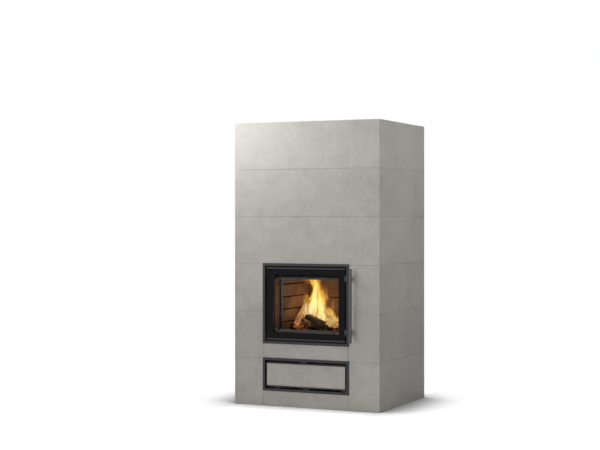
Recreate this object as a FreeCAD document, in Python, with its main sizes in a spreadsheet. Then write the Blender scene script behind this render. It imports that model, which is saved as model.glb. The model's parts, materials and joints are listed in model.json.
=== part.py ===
import FreeCAD, Part
import os
import Sketcher

# Soapstone heater. Origin at the centre of the footprint on the floor, +Z up, the front faces -Y.
# Depths are counted from the front face of the stone, positive into the heater. Lengths in mm.

SIZES = (
    # stonework
    ("body_width", 840.0),
    ("body_depth", 672.0),
    ("course_height", 252.0),
    ("slab_thickness", 60.0),
    ("arris", 1.5),
    ("base_filler", 84.0),
    ("band_filler", 84.0),
    ("opening_width", 492.0),
    # core and firebox
    ("core_wall", 50.0),
    ("core_back", 36.0),
    ("brick_thickness", 51.0),
    ("back_brick_thickness", 44.0),
    ("mouth_depth", 135.0),
    ("firebox_depth", 345.0),
    ("brick_course", 67.6),
    ("back_brick_height", 186.0),
    ("brick_arris", 3.0),
    ("hearth_block_height", 118.0),
    ("hearth_tile", 20.0),
    ("chute_width", 180.0),
    ("chute_depth", 176.0),
    ("chute_start", 219.5),
    ("grate_rim", 10.0),
    ("grate_clear", 1.0),
    ("slot_width", 12.0),
    ("slot_pitch", 22.0),
    ("ceiling_thickness", 60.0),
    ("throat_slot_width", 300.0),
    ("throat_slot_depth", 120.0),
    ("upper_front", 50.0),
    ("cap_thickness", 60.0),
    ("insulation_thickness", 48.0),
    ("channel_notch_height", 144.0),
    ("channel_notch_margin", 100.0),
    ("collector_height", 216.0),
    ("pit_back", 34.0),
    ("lintel_clear", 4.0),
    # flue
    ("flue_radius", 75.0),
    ("flue_wall", 3.0),
    ("flue_flange", 14.0),
    ("flue_flange_sheet", 4.0),
    ("flue_fit", 0.3),
    ("flue_reach", 8.0),
    # frames
    ("flange_lap", 4.5),
    ("flange_face", 13.5),
    ("flange_proud", 3.5),
    ("frame_sheet", 3.0),
    ("stone_fit", 0.5),
    ("rebate_depth", 24.0),
    ("throat_end", 92.0),
    ("throat_step", 6.0),
    ("screw_depth", 70.0),
    ("screw_spread", 186.0),
    ("screw_radius", 2.5),
    ("screw_head", 5.0),
    ("mouth_rope_radius", 5.5),
    ("mouth_rope_clear", 0.5),
    ("deflector_height", 11.4),
    ("deflector_drop", 20.6),
    ("deflector_set_back", 12.0),
    ("deflector_step", 6.0),
    # door leaf
    ("leaf_gap", 8.3),
    ("window_width", 384.0),
    ("window_height", 310.0),
    ("window_bevel", 3.0),
    ("glass_thickness", 4.0),
    ("glass_fit", 0.3),
    ("glass_arris", 0.6),
    ("glass_overhang", 7.7),
    ("tape_thickness", 1.0),
    ("tape_margin", 2.0),
    ("leaf_thickness", 15.0),
    ("trim_height", 7.5),
    ("trim_sheet", 2.2),
    ("lip_sheet", 2.0),
    ("rope_radius", 4.2),
    ("rope_inset", 17.5),
    ("rope_clear", 0.4),
    ("groove_width", 10.0),
    ("groove_depth", 5.0),
    ("guard_end_clear", 12.0),
    ("guard_set_back", 3.0),
    ("guard_height", 15.0),
    ("guard_lift", 4.0),
    ("guard_round", 4.0),
    ("guard_foot", 14.0),
    ("guard_foot_inset", 24.0),
    # pivots
    ("pivot_out", 2.0),
    ("eye_clear", 0.6),
    ("eye_height", 12.0),
    ("eye_web", 5.0),
    ("root_lap", 2.0),
    ("eye_play", 0.15),
    ("pin_radius", 2.0),
    ("pin_press", 0.02),
    ("pin_run", 0.05),
    ("hinge_spread", 321.0),
    # handle and keepers
    ("bar_beside", 17.5),
    ("bar_width", 7.0),
    ("bar_depth", 20.0),
    ("bar_reach", 43.0),
    ("bar_round", 1.2),
    ("arm_plate", 4.5),
    ("arm_clear", 4.0),
    ("arm_height", 25.0),
    ("arm_spread", 280.0),
    ("arm_bend", 3.0),
    ("finger_width", 4.0),
    ("hook_height", 17.0),
    ("hook_reach", 7.0),
    ("hook_thickness", 4.5),
    ("hook_play", 1.0),
    ("keeper_stand", 1.0),
    ("keeper_stem", 3.0),
    ("keeper_head", 4.0),
    ("keeper_clear", 0.8),
    ("keeper_start", 10.0),
    # lower unit
    ("drawer_gap", 10.0),
    ("panel_lip", 7.0),
    ("panel_thickness", 20.0),
    ("tray_sheet", 2.5),
    ("box_width", 410.0),
    ("box_height", 120.0),
    ("box_back_clear", 10.0),
    ("box_sheet", 2.0),
    ("box_lift", 16.0),
    ("slide_clear", 0.3),
    ("runner_width", 27.0),
    ("guide_width", 8.0),
    ("guide_rise", 12.0),
    ("guide_clear", 2.0),
    ("runner_margin", 4.0),
    ("drawer_tab_width", 37.0),
    ("tab_height", 8.0),
    ("tab_set_back", 3.0),
    ("tab_sheet", 3.0),
    # air control
    ("register_height", 24.5),
    ("register_sheet", 3.0),
    ("slide_sheet", 3.5),
    ("slide_end", 10.0),
    ("slide_margin", 2.0),
    ("slide_rest", 13.0),
    ("air_slot_width", 40.0),
    ("air_slot_height", 10.0),
    ("air_slot_pitch", 80.0),
    ("air_tab_width", 40.0),
    ("air_tab_gap", 1.0),
    ("lever_drop", 1.0),
    ("lever_width", 20.0),
    ("lever_thickness", 4.0),
)

COURSES = 6
OPEN_COURSES = 3
COURSES_BELOW_FLUE = 1
BRICK_COURSES = 7
BACK_BRICKS = 3
GRATE_SLOTS = 7
SLOT_DRAFT = 3.0
AIR_SLOTS = 4

doc = FreeCAD.newDocument("SoapstoneHeater")
sheet = doc.addObject("Spreadsheet::Sheet", "Sizes")


class Dim:
    """A length that carries its value and the sheet expression it comes from."""

    def __init__(self, value, text):
        self.value = value
        self.text = text

    def __add__(self, other):
        other = dim(other)
        return Dim(self.value + other.value, "(%s + %s)" % (self.text, other.text))

    def __sub__(self, other):
        other = dim(other)
        return Dim(self.value - other.value, "(%s - %s)" % (self.text, other.text))

    def __mul__(self, factor):
        return Dim(self.value * factor, "(%s * %s)" % (self.text, factor))

    def __truediv__(self, divisor):
        return Dim(self.value / divisor, "(%s / %s)" % (self.text, divisor))

    def __neg__(self):
        return self * -1

    def __radd__(self, other):
        return dim(other) + self

    def __rsub__(self, other):
        return dim(other) - self

    __rmul__ = __mul__


def dim(value):
    """Any number as a Dim."""
    if isinstance(value, Dim):
        return value
    return Dim(float(value), repr(float(value)))


class Sizes:
    """The sheet's cells by their aliases."""


S = Sizes()
for row, (alias, value) in enumerate(SIZES, start=1):
    sheet.set("A%d" % row, alias)
    sheet.set("B%d" % row, repr(value))
    sheet.setAlias("B%d" % row, alias)
    setattr(S, alias, Dim(value, "Sizes." + alias))
doc.recompute()

PLANES = {"X": "YZ_Plane", "Y": "XZ_Plane", "Z": "XY_Plane"}
NODES = []


def bind(item, path, value):
    """Drive one property of an object from the sheet."""
    item.setExpression(path, dim(value).text)


def place(item, level):
    """Stand an object on a level, with its depths counted from the front face."""
    bind(item, "Placement.Base.y", -S.body_depth / 2)
    bind(item, "Placement.Base.z", level)


def new_body(label, level):
    """An empty body, drawn in width, depth and height above the given level."""
    body = doc.addObject("PartDesign::Body", "Body")
    body.Label = label
    place(body, level)
    return body


def rect(left, right, low, high):
    """Corners of a rectangle."""
    return [(left, low), (right, low), (right, high), (left, high)]


def centred(half_width, half_height):
    """Corners of a rectangle about the origin."""
    return rect(-half_width, half_width, -half_height, half_height)


def draw_polygon(sketch, corners):
    """A closed outline with every corner tied to the sheet."""
    spots = [FreeCAD.Vector(dim(across).value, dim(up).value, 0) for across, up in corners]
    first = sketch.GeometryCount
    for index, spot in enumerate(spots):
        following = spots[(index + 1) % len(spots)]
        sketch.addGeometry(Part.LineSegment(spot, following), False)
    for index in range(len(spots)):
        following = first + (index + 1) % len(spots)
        sketch.addConstraint(Sketcher.Constraint("Coincident", first + index, 2, following, 1))
    for index, (across, up) in enumerate(corners):
        for kind, value in (("DistanceX", dim(across)), ("DistanceY", dim(up))):
            made = sketch.addConstraint(Sketcher.Constraint(kind, -1, 1, first + index, 1, value.value))
            bind(sketch, "Constraints[%d]" % made, value)


def draw_circle(sketch, across, up, radius):
    """A circle with its centre and radius tied to the sheet."""
    centre = FreeCAD.Vector(dim(across).value, dim(up).value, 0)
    made = sketch.addGeometry(Part.Circle(centre, FreeCAD.Vector(0, 0, 1), dim(radius).value), False)
    for kind, value in (("DistanceX", dim(across)), ("DistanceY", dim(up))):
        number = sketch.addConstraint(Sketcher.Constraint(kind, -1, 1, made, 3, value.value))
        bind(sketch, "Constraints[%d]" % number, value)
    number = sketch.addConstraint(Sketcher.Constraint("Radius", made, dim(radius).value))
    bind(sketch, "Constraints[%d]" % number, radius)


def draw_slot(sketch, across, low, high, radius):
    """A slot with round ends, running up the sketch."""
    bottom = dim(low) + radius
    top = dim(high) - radius
    first = sketch.GeometryCount
    corners = [
        (across + radius, bottom),
        (across + radius, top),
        (across - radius, top),
        (across - radius, bottom),
    ]
    spots = [FreeCAD.Vector(dim(x).value, dim(y).value, 0) for x, y in corners]
    crown = FreeCAD.Vector(dim(across).value, dim(high).value, 0)
    foot = FreeCAD.Vector(dim(across).value, dim(low).value, 0)
    sketch.addGeometry(Part.LineSegment(spots[0], spots[1]), False)
    sketch.addGeometry(Part.Arc(spots[1], crown, spots[2]), False)
    sketch.addGeometry(Part.LineSegment(spots[2], spots[3]), False)
    sketch.addGeometry(Part.Arc(spots[3], foot, spots[0]), False)
    ends = ((0, 1), (0, 2), (2, 1), (2, 2))
    for (line, end), (x, y) in zip(ends, corners):
        for kind, value in (("DistanceX", dim(x)), ("DistanceY", dim(y))):
            made = sketch.addConstraint(Sketcher.Constraint(kind, -1, 1, first + line, end, value.value))
            bind(sketch, "Constraints[%d]" % made, value)
    for arc, before, after, level in ((1, 0, 2, top), (3, 2, 0, bottom)):
        sketch.addConstraint(Sketcher.Constraint("Coincident", first + arc, 1, first + before, 2))
        sketch.addConstraint(Sketcher.Constraint("Coincident", first + arc, 2, first + after, 1))
        made = sketch.addConstraint(Sketcher.Constraint("DistanceY", -1, 1, first + arc, 3, level.value))
        bind(sketch, "Constraints[%d]" % made, level)


def sketch_at(body, axis, level, loops):
    """A sketch square to an axis, at a level along it. Three Dims are a circle, four a slot."""
    sketch = body.newObject("Sketcher::SketchObject", "Sketch")
    plane = [item for item in body.Origin.OriginFeatures if item.Role == PLANES[axis]][0]
    sketch.AttachmentSupport = (plane, [""])
    sketch.MapMode = "FlatFace"
    bind(sketch, "AttachmentOffset.Base.z", -dim(level) if axis == "Y" else level)
    for loop in loops:
        if isinstance(loop, tuple) and len(loop) == 4:
            draw_slot(sketch, *loop)
        elif isinstance(loop, tuple):
            draw_circle(sketch, *loop)
        else:
            draw_polygon(sketch, loop)
    return sketch


def pad(body, axis, low, high, *loops):
    """Material between two levels along an axis."""
    start = high if axis == "Y" else low
    feature = body.newObject("PartDesign::Pad", "Pad")
    feature.Profile = sketch_at(body, axis, start, loops)
    bind(feature, "Length", dim(high) - dim(low))
    return feature


def pocket(body, axis, low, high, *loops):
    """A cut between two levels along an axis."""
    start = low if axis == "Y" else high
    feature = body.newObject("PartDesign::Pocket", "Pocket")
    feature.Profile = sketch_at(body, axis, start, loops)
    bind(feature, "Length", dim(high) - dim(low))
    return feature


def edges_where(feature, wanted):
    """Names of a feature's edges whose two ends pass a test."""
    doc.recompute()
    names = []
    for number, edge in enumerate(feature.Shape.Edges, start=1):
        ends = [vertex.Point for vertex in edge.Vertexes]
        if len(ends) == 2 and wanted(ends[0], ends[1]):
            names.append("Edge%d" % number)
    return names


def near(first, second):
    return abs(first - dim(second).value) < 1e-4


def bevel(body, feature, size, wanted):
    """Flat bevels on chosen edges."""
    made = body.newObject("PartDesign::Chamfer", "Chamfer")
    made.Base = (feature, edges_where(feature, wanted))
    bind(made, "Size", size)
    return made


def soften(body, feature, size, wanted):
    """Rounds on chosen edges."""
    made = body.newObject("PartDesign::Fillet", "Fillet")
    made.Base = (feature, edges_where(feature, wanted))
    bind(made, "Radius", size)
    return made


def node(item):
    """Keep an object as one node of the part."""
    NODES.append(item)
    return item


def group(label, items):
    """Separate pieces of one kind kept as one node."""
    made = doc.addObject("Part::Compound", "Group")
    made.Label = label
    made.Links = items
    return node(made)


half_width = S.body_width / 2
half_inside = half_width - S.slab_thickness
back_inside = S.body_depth - S.slab_thickness
half_opening = S.opening_width / 2
height = S.course_height * COURSES


def course_level(number):
    return S.course_height * (number - 1)


def upright(first, second):
    return abs(first.z - second.z) > 1e-4


def slab(label, level, low, high, plan, on_face, at_mitre):
    """A stone with fine arrises round its outer face, its mitred edge left sharp."""
    body = new_body(label, level)
    block = pad(body, "Z", low, high, plan)

    def wanted(first, second):
        on = on_face(first) and on_face(second)
        return on and not (upright(first, second) and at_mitre(first))

    bevel(body, block, S.arris, wanted)
    return body


def front_face(point):
    return near(point.y, 0)


def outer_corner(point):
    return near(abs(point.x), half_width)


# front stones
for number in range(1, COURSES + 1):
    level = course_level(number)
    if number > OPEN_COURSES:
        plan = [
            (-half_width, 0),
            (half_width, 0),
            (half_inside, S.slab_thickness),
            (-half_inside, S.slab_thickness),
        ]
        label = "front_slab_%d" % number
        node(slab(label, level, 0, S.course_height, plan, front_face, outer_corner))
        continue
    for side, name in ((-1, "left"), (1, "right")):
        plan = [
            (half_width * side, 0),
            (half_opening * side, 0),
            (half_opening * side, S.slab_thickness),
            (half_inside * side, S.slab_thickness),
        ]
        label = "front_%s_block_%d" % (name, number)
        node(slab(label, level, 0, S.course_height, plan, front_face, outer_corner))

filler_plan = rect(-half_opening, half_opening, 0, S.slab_thickness)
node(slab("base_front_block", 0, 0, S.base_filler, filler_plan, front_face, outer_corner))
node(slab("hearth_front_block", S.course_height, 0, S.band_filler, filler_plan, front_face, outer_corner))

# side stones
for side, name in ((-1, "left"), (1, "right")):
    plan = [
        (half_width * side, 0),
        (half_width * side, S.body_depth),
        (half_inside * side, S.body_depth),
        (half_inside * side, S.slab_thickness),
    ]
    stones = []
    for number in range(1, COURSES + 1):
        label = "%s_side_stone_%d" % (name, number)
        stones.append(slab(label, course_level(number), 0, S.course_height, plan, outer_corner, front_face))
    group("%s_side_stones" % name, stones)


# back stones, the second course pierced for the flue
def back_face(point):
    return near(point.y, S.body_depth)


def nowhere(point):
    return False


back_plan = rect(-half_inside, half_inside, back_inside, S.body_depth)
flue_height = S.course_height * COURSES_BELOW_FLUE + S.course_height / 2
flue_outside = S.flue_radius + S.flue_wall
stones = []
for number in range(1, COURSES + 1):
    label = "back_stone_%d" % number
    stone = slab(label, course_level(number), 0, S.course_height, back_plan, back_face, nowhere)
    if number == COURSES_BELOW_FLUE + 1:
        stone.Label = "back_flue_stone"
        hole = (dim(0), S.course_height / 2, flue_outside + S.flue_fit)
        pocket(stone, "Y", back_inside, S.body_depth, hole)
        node(stone)
    else:
        stones.append(stone)
group("back_stones", stones)

collar = new_body("flue_collar", flue_height)
collar_start = back_inside - S.flue_reach
collar_profile = [
    (collar_start, S.flue_radius),
    (S.body_depth, S.flue_radius),
    (S.body_depth, flue_outside),
    (back_inside, flue_outside),
    (back_inside, flue_outside + S.flue_flange),
    (back_inside - S.flue_flange_sheet, flue_outside + S.flue_flange),
    (back_inside - S.flue_flange_sheet, flue_outside),
    (collar_start, flue_outside),
]
profile = sketch_at(collar, "X", 0, [collar_profile])
turned = collar.newObject("PartDesign::Revolution", "Revolution")
turned.Profile = profile
turned.ReferenceAxis = (profile, ["H_Axis"])
turned.Angle = 360.0
node(collar)

# core
core_floor = S.base_filler
hearth_level = S.course_height + S.hearth_block_height
brick_end = S.mouth_depth + S.firebox_depth
lining_end = brick_end + S.back_brick_thickness
core_end = lining_end + S.core_back
brick_top = hearth_level + S.brick_course * BRICK_COURSES
ceiling_top = brick_top + S.ceiling_thickness
top_start = height - S.slab_thickness
insulation_start = top_start - S.insulation_thickness
core_top = insulation_start - S.cap_thickness
half_core = half_opening + S.core_wall
half_firebox = half_opening - S.brick_thickness
core_front = S.slab_thickness


def board(label, low, high, *plan):
    """A plain cast or cut block of the core."""
    body = new_body(label, low)
    pad(body, "Z", 0, dim(high) - dim(low), *plan)
    return body


inside_plan = rect(-half_inside, half_inside, core_front, back_inside)
between_walls = rect(-half_opening, half_opening, core_front, lining_end)
node(board("base_slab", 0, core_floor, inside_plan))
node(board("top_slab", top_start, height, inside_plan))
node(board("insulation_board", insulation_start, top_start, inside_plan))
node(board("core_cap", core_top, insulation_start, rect(-half_core, half_core, core_front, core_end)))

notch_low = core_top - S.channel_notch_height
notch_start = core_front + S.channel_notch_margin
notch_end = core_end - S.channel_notch_margin
collector_top = core_floor + S.collector_height
wall_outline = [
    (core_front, core_floor),
    (core_end, core_floor),
    (core_end, collector_top),
    (back_inside, collector_top),
    (back_inside, core_top),
    (notch_end, core_top),
    (notch_end, notch_low),
    (notch_start, notch_low),
    (notch_start, core_top),
    (core_front, core_top),
]
left_wall = new_body("core_wall_left", 0)
pad(left_wall, "X", -half_core, -half_opening, wall_outline)
node(left_wall)
right_wall = new_body("core_wall_right", 0)
pad(right_wall, "X", half_opening, half_core, wall_outline)
node(right_wall)

back_wall_plan = rect(-half_opening, half_opening, lining_end, core_end)
node(board("core_wall_back", core_floor, core_top, back_wall_plan))
pit_start = lining_end - S.pit_back
pit_back_plan = rect(-half_opening, half_opening, pit_start, lining_end)
node(board("ash_pit_back", core_floor, S.course_height, pit_back_plan))

chute_end = S.chute_start + S.chute_depth
chute = rect(-S.chute_width / 2, S.chute_width / 2, S.chute_start, chute_end)
node(board("hearth_block", S.course_height, hearth_level, between_walls, chute))

grate_half = S.chute_width / 2 + S.grate_rim
grate_start = S.chute_start - S.grate_rim
grate_end = chute_end + S.grate_rim
grate_hole = rect(
    -grate_half - S.grate_clear,
    grate_half + S.grate_clear,
    grate_start - S.grate_clear,
    grate_end + S.grate_clear,
)
floor_top = hearth_level + S.hearth_tile
floor_plan = rect(-half_firebox, half_firebox, S.mouth_depth, brick_end)
node(board("hearth_tile", hearth_level, floor_top, floor_plan, grate_hole))

grate = new_body("grate", hearth_level)
pad(grate, "Z", 0, S.hearth_tile, rect(-grate_half, grate_half, grate_start, grate_end))
first_slot = S.slot_pitch * ((1 - GRATE_SLOTS) / 2)
slot = (first_slot, S.chute_start, chute_end, S.slot_width / 2)
slot_cut = pocket(grate, "Z", 0, S.hearth_tile, slot)
slot_cut.TaperAngle = SLOT_DRAFT
slots = grate.newObject("PartDesign::LinearPattern", "LinearPattern")
slots.Originals = [slot_cut]
slots.Direction = (slot_cut.Profile[0], ["H_Axis"])
bind(slots, "Length", S.slot_pitch * (GRATE_SLOTS - 1))
slots.Occurrences = GRATE_SLOTS
grate.Tip = slots
node(grate)

# firebricks
for side, name in ((-1, "left"), (1, "right")):
    bricks = []
    plan = [
        (half_opening * side, S.mouth_depth),
        (half_firebox * side, S.mouth_depth),
        (half_firebox * side, brick_end),
        (half_opening * side, brick_end),
    ]
    for number in range(BRICK_COURSES):
        label = "%s_brick_%d" % (name, number + 1)
        brick = new_body(label, hearth_level + S.brick_course * number)
        block = pad(brick, "Z", 0, S.brick_course, plan)
        bevel(
            brick,
            block,
            S.brick_arris,
            lambda a, b: near(abs(a.x), half_firebox) and near(abs(b.x), half_firebox) and not upright(a, b),
        )
        bricks.append(brick)
    group("%s_firebricks" % name, bricks)

back_levels = [hearth_level + S.back_brick_height * number for number in range(BACK_BRICKS)]
back_levels.append(brick_top)
bricks = []
for number in range(BACK_BRICKS):
    brick = new_body("back_brick_%d" % (number + 1), back_levels[number])
    rise = back_levels[number + 1] - back_levels[number]
    block = pad(brick, "Z", 0, rise, rect(-half_opening, half_opening, brick_end, lining_end))
    bevel(
        brick,
        block,
        S.brick_arris,
        lambda a, b: near(a.y, brick_end) and near(b.y, brick_end) and not upright(a, b),
    )
    bricks.append(brick)
group("back_firebricks", bricks)

# mouth of the firebox
door_middle = (S.course_height * (OPEN_COURSES + 1) + S.band_filler) / 2
half_window = S.window_width / 2
half_window_high = S.window_height / 2
throat_half = half_window + S.throat_step
throat_half_high = half_window_high + S.throat_step
jamb_half = half_firebox + S.mouth_rope_radius * 2 + S.mouth_rope_clear
jambs = []
for side in (-1, 1):
    plan = [
        (half_opening * side, core_front),
        (jamb_half * side, core_front),
        (jamb_half * side, S.mouth_depth),
        (half_opening * side, S.mouth_depth),
    ]
    jambs.append(board("mouth_jamb_%d" % (side + 2), hearth_level, brick_top, plan))
group("mouth_jambs", jambs)

lintel_low = door_middle + throat_half_high + S.frame_sheet + S.lintel_clear
node(board("mouth_lintel", lintel_low, brick_top, rect(-jamb_half, jamb_half, core_front, S.mouth_depth)))

ropes = []
for side in (-1, 1):
    rope = new_body("mouth_rope_%d" % (side + 2), hearth_level)
    spot = (
        (half_firebox + S.mouth_rope_radius) * side,
        S.mouth_depth - S.mouth_rope_radius - S.mouth_rope_clear,
        S.mouth_rope_radius,
    )
    pad(rope, "Z", 0, lintel_low - hearth_level, spot)
    ropes.append(rope)
group("mouth_rope", ropes)

throat_start = brick_end - S.throat_slot_depth
throat_slot = rect(-S.throat_slot_width / 2, S.throat_slot_width / 2, throat_start, brick_end)
node(board("firebox_ceiling", brick_top, ceiling_top, between_walls, throat_slot))
upper_plan = rect(-half_opening, half_opening, core_front, core_front + S.upper_front)
node(board("upper_front_wall", ceiling_top, core_top, upper_plan))

# pivots shared by the door and the handle
flange_half = half_opening + S.flange_lap
flange_inner = flange_half - S.flange_face
leaf_half = flange_inner - S.leaf_gap
pivot = leaf_half + S.leaf_gap / 2
eye_radius = S.leaf_gap / 2 - S.eye_clear


def barrel(side):
    return (pivot * side, -S.pivot_out, eye_radius)


def bore(side, fit):
    return (pivot * side, -S.pivot_out, S.pin_radius + fit)


# frames of the two openings
def flanged_frame(label, level, half_high, depth):
    """A flange on the stone with a return running back inside the opening."""
    body = new_body(label, level)
    flange_high = half_high + S.flange_lap
    pad(
        body,
        "Y",
        -S.flange_proud,
        0,
        centred(flange_half, flange_high),
        centred(flange_inner, flange_high - S.flange_face),
    )
    outer = half_opening - S.stone_fit
    outer_high = half_high - S.stone_fit
    pad(
        body,
        "Y",
        0,
        depth,
        centred(outer, outer_high),
        centred(outer - S.frame_sheet, outer_high - S.frame_sheet),
    )
    return body


door_half_high = (S.course_height * (OPEN_COURSES - 1) - S.band_filler) / 2
flange_inner_high = door_half_high + S.flange_lap - S.flange_face
leaf_half_high = flange_inner_high - S.leaf_gap
return_half = half_opening - S.stone_fit
return_half_high = door_half_high - S.stone_fit
rebate_end = S.rebate_depth + S.frame_sheet
hinge_levels = [S.hinge_spread / 2 * -1, S.hinge_spread / 2]

frame = flanged_frame("door_frame", door_middle, door_half_high, rebate_end)
pad(
    frame,
    "Y",
    S.rebate_depth,
    rebate_end,
    centred(return_half, return_half_high),
    centred(throat_half, throat_half_high),
)
pad(
    frame,
    "Y",
    rebate_end,
    S.throat_end,
    centred(throat_half + S.frame_sheet, throat_half_high + S.frame_sheet),
    centred(throat_half, throat_half_high),
)
screw_levels = [S.screw_spread / 2 * -1, S.screw_spread / 2]
screw_holes = [(S.screw_depth, level, S.screw_radius + S.pin_press) for level in screw_levels]
pocket(frame, "X", -throat_half - S.frame_sheet, throat_half + S.frame_sheet, *screw_holes)
frame_tail = rect(-flange_inner - S.root_lap, -pivot, -S.flange_proud, 0)
for level in hinge_levels:
    low = level - S.eye_height
    high = level - S.eye_play
    pad(frame, "Z", low, high, frame_tail)
    pad(frame, "Z", low, high, barrel(-1))
    pocket(frame, "Z", low, high, bore(-1, S.pin_press))
node(frame)

screws = []
for side in (-1, 1):
    for level in screw_levels:
        screw = new_body("jamb_screw", door_middle + level)
        seat = throat_half * side
        inner = (throat_half - S.screw_radius) * side
        tail = (throat_half + S.frame_sheet * 2) * side
        if side < 0:
            pad(screw, "X", seat, inner, (S.screw_depth, dim(0), S.screw_head))
            pad(screw, "X", tail, seat, (S.screw_depth, dim(0), S.screw_radius))
        else:
            pad(screw, "X", inner, seat, (S.screw_depth, dim(0), S.screw_head))
            pad(screw, "X", seat, tail, (S.screw_depth, dim(0), S.screw_radius))
        screws.append(screw)
group("jamb_screws", screws)

deflector = new_body("air_deflector", door_middle)
lip_high = throat_half_high - S.deflector_drop
lip_low = lip_high - S.deflector_height
lip_start = rebate_end + S.deflector_set_back
lip_end = lip_start + S.frame_sheet
riser_start = lip_start + S.deflector_step
riser_end = riser_start + S.frame_sheet
deflector_profile = [
    (lip_start, lip_low),
    (lip_end, lip_low),
    (lip_end, lip_high - S.frame_sheet),
    (riser_end, lip_high - S.frame_sheet),
    (riser_end, throat_half_high),
    (riser_start, throat_half_high),
    (riser_start, lip_high),
    (lip_start, lip_high),
]
pad(deflector, "X", -throat_half, throat_half, deflector_profile)
node(deflector)

# door leaf
casting_half = leaf_half - S.glass_overhang
casting_half_high = leaf_half_high - S.trim_sheet
casting_start = S.glass_thickness + S.tape_thickness
casting_end = casting_start + S.leaf_thickness
rope_half = half_window + S.rope_inset
rope_half_high = half_window_high + S.rope_inset
arm_levels = [S.arm_spread / 2 * -1, S.arm_spread / 2]


def leaf_tail(side):
    """Plan of a lug that reaches round the edge of the glass to a pivot."""
    root = (casting_half - S.root_lap) * side
    near_side = (pivot - eye_radius) * side
    far_side = (pivot + eye_radius) * side
    return [
        (root, casting_start),
        (near_side, casting_start),
        (near_side, -S.pivot_out),
        (far_side, -S.pivot_out),
        (far_side, casting_start + S.eye_web),
        (root, casting_start + S.eye_web),
    ]


leaf = new_body("door_leaf", door_middle)
casting = pad(
    leaf,
    "Y",
    casting_start,
    casting_end,
    centred(casting_half, casting_half_high),
    centred(half_window, half_window_high),
)


def window_back(point):
    """True on the inner edge of the casting's back face."""
    inside = abs(point.x) < rope_half.value and abs(point.z) < rope_half_high.value
    return inside and near(point.y, casting_end)


bevel(leaf, casting, S.window_bevel, lambda a, b: window_back(a) and window_back(b))
pocket(
    leaf,
    "Y",
    casting_end - S.groove_depth,
    casting_end,
    centred(rope_half + S.groove_width / 2, rope_half_high + S.groove_width / 2),
    centred(rope_half - S.groove_width / 2, rope_half_high - S.groove_width / 2),
)
lugs = []
for level in hinge_levels:
    lugs.append((-1, level + S.eye_play, level + S.eye_height))
for level in arm_levels:
    arm_edge = S.arm_height / 2 + S.eye_play
    lugs.append((1, level - arm_edge - S.eye_height, level - arm_edge))
    lugs.append((1, level + arm_edge, level + arm_edge + S.eye_height))
for side, low, high in lugs:
    pad(leaf, "Z", low, high, leaf_tail(side))
    pad(leaf, "Z", low, high, barrel(side))
    fit = S.pin_run if side < 0 else S.pin_press
    pocket(leaf, "Z", low, high, bore(side, fit))
node(leaf)

guard = new_body("log_guard", door_middle)
guard_half = half_window - S.guard_end_clear
guard_low = S.guard_lift - half_window_high
guard_start = casting_start + S.guard_set_back
guard_end = guard_start + S.frame_sheet
guard_outline = rect(-guard_half, guard_half, guard_low, guard_low + S.guard_height)
strip = pad(guard, "Y", guard_start, guard_end, guard_outline)


def lower_end(point):
    """True at the lower corners of the guard."""
    return near(point.z, guard_low) and near(abs(point.x), guard_half)


soften(guard, strip, S.guard_round, lambda a, b: lower_end(a) and lower_end(b) and not near(a.y, b.y))
for side in (-1, 1):
    foot = (guard_half - S.guard_foot_inset) * side
    foot_outline = rect(foot - S.guard_foot / 2, foot + S.guard_foot / 2, -half_window_high, guard_low)
    pad(guard, "Y", guard_start, guard_end, foot_outline)
node(guard)

hinge_pins = []
for level in hinge_levels:
    pin = new_body("hinge_pin", door_middle + level)
    pad(pin, "Z", -S.eye_height, S.eye_height, bore(-1, dim(0)))
    hinge_pins.append(pin)
group("hinge_pins", hinge_pins)

handle_pins = []
for level in arm_levels:
    pin = new_body("handle_pin", door_middle + level)
    reach = S.arm_height / 2 + S.eye_play + S.eye_height
    pad(pin, "Z", -reach, reach, bore(1, dim(0)))
    handle_pins.append(pin)
group("handle_pins", handle_pins)

tape = new_body("glass_tape", door_middle)
pad(
    tape,
    "Y",
    S.glass_thickness,
    casting_start,
    centred(casting_half - S.tape_margin, casting_half_high - S.tape_margin),
    centred(half_window + S.tape_margin, half_window_high + S.tape_margin),
)
node(tape)

glass = new_body("door_glass", door_middle)
pane = pad(glass, "Y", 0, S.glass_thickness, centred(leaf_half, casting_half_high - S.glass_fit))
bevel(glass, pane, S.glass_arris, lambda a, b: front_face(a) and front_face(b))
node(glass)

for side, name in ((1, "upper"), (-1, "lower")):
    trim = new_body("%s_glass_trim" % name, door_middle)
    edge = leaf_half_high * side
    web = casting_half_high * side
    lip = (leaf_half_high - S.trim_height) * side
    outline = [
        (-S.lip_sheet, lip),
        (0, lip),
        (0, web),
        (casting_end, web),
        (casting_end, edge),
        (-S.lip_sheet, edge),
    ]
    pad(trim, "X", -leaf_half, leaf_half, outline)
    node(trim)

# rope swept round the groove of the leaf
rope_depth = S.rebate_depth - S.rope_clear - S.rope_radius
rope_path = [
    (0, -rope_half_high),
    (rope_half, -rope_half_high),
    (rope_half, rope_half_high),
    (-rope_half, rope_half_high),
    (-rope_half, -rope_half_high),
]
leaf_rope = new_body("leaf_rope", door_middle)
route = sketch_at(leaf_rope, "Y", rope_depth, [rope_path])
section = sketch_at(leaf_rope, "X", 0, [(rope_depth, -rope_half_high, S.rope_radius)])
swept = leaf_rope.newObject("PartDesign::AdditivePipe", "AdditivePipe")
swept.Profile = section
swept.Spine = (route, ["Edge%d" % (number + 1) for number in range(len(rope_path))])
swept.Transition = "Right corner"
node(leaf_rope)

# handle
bar_start = flange_half + S.bar_beside
bar_end = bar_start + S.bar_width
bar_back = S.bar_depth - S.bar_reach
bar = new_body("handle_bar", door_middle)
bar_block = pad(bar, "Z", -leaf_half_high, leaf_half_high, rect(bar_start, bar_end, -S.bar_reach, bar_back))
soften(bar, bar_block, S.bar_round, lambda a, b: not upright(a, b) or near(a.y, -S.bar_reach))
node(bar)

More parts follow.
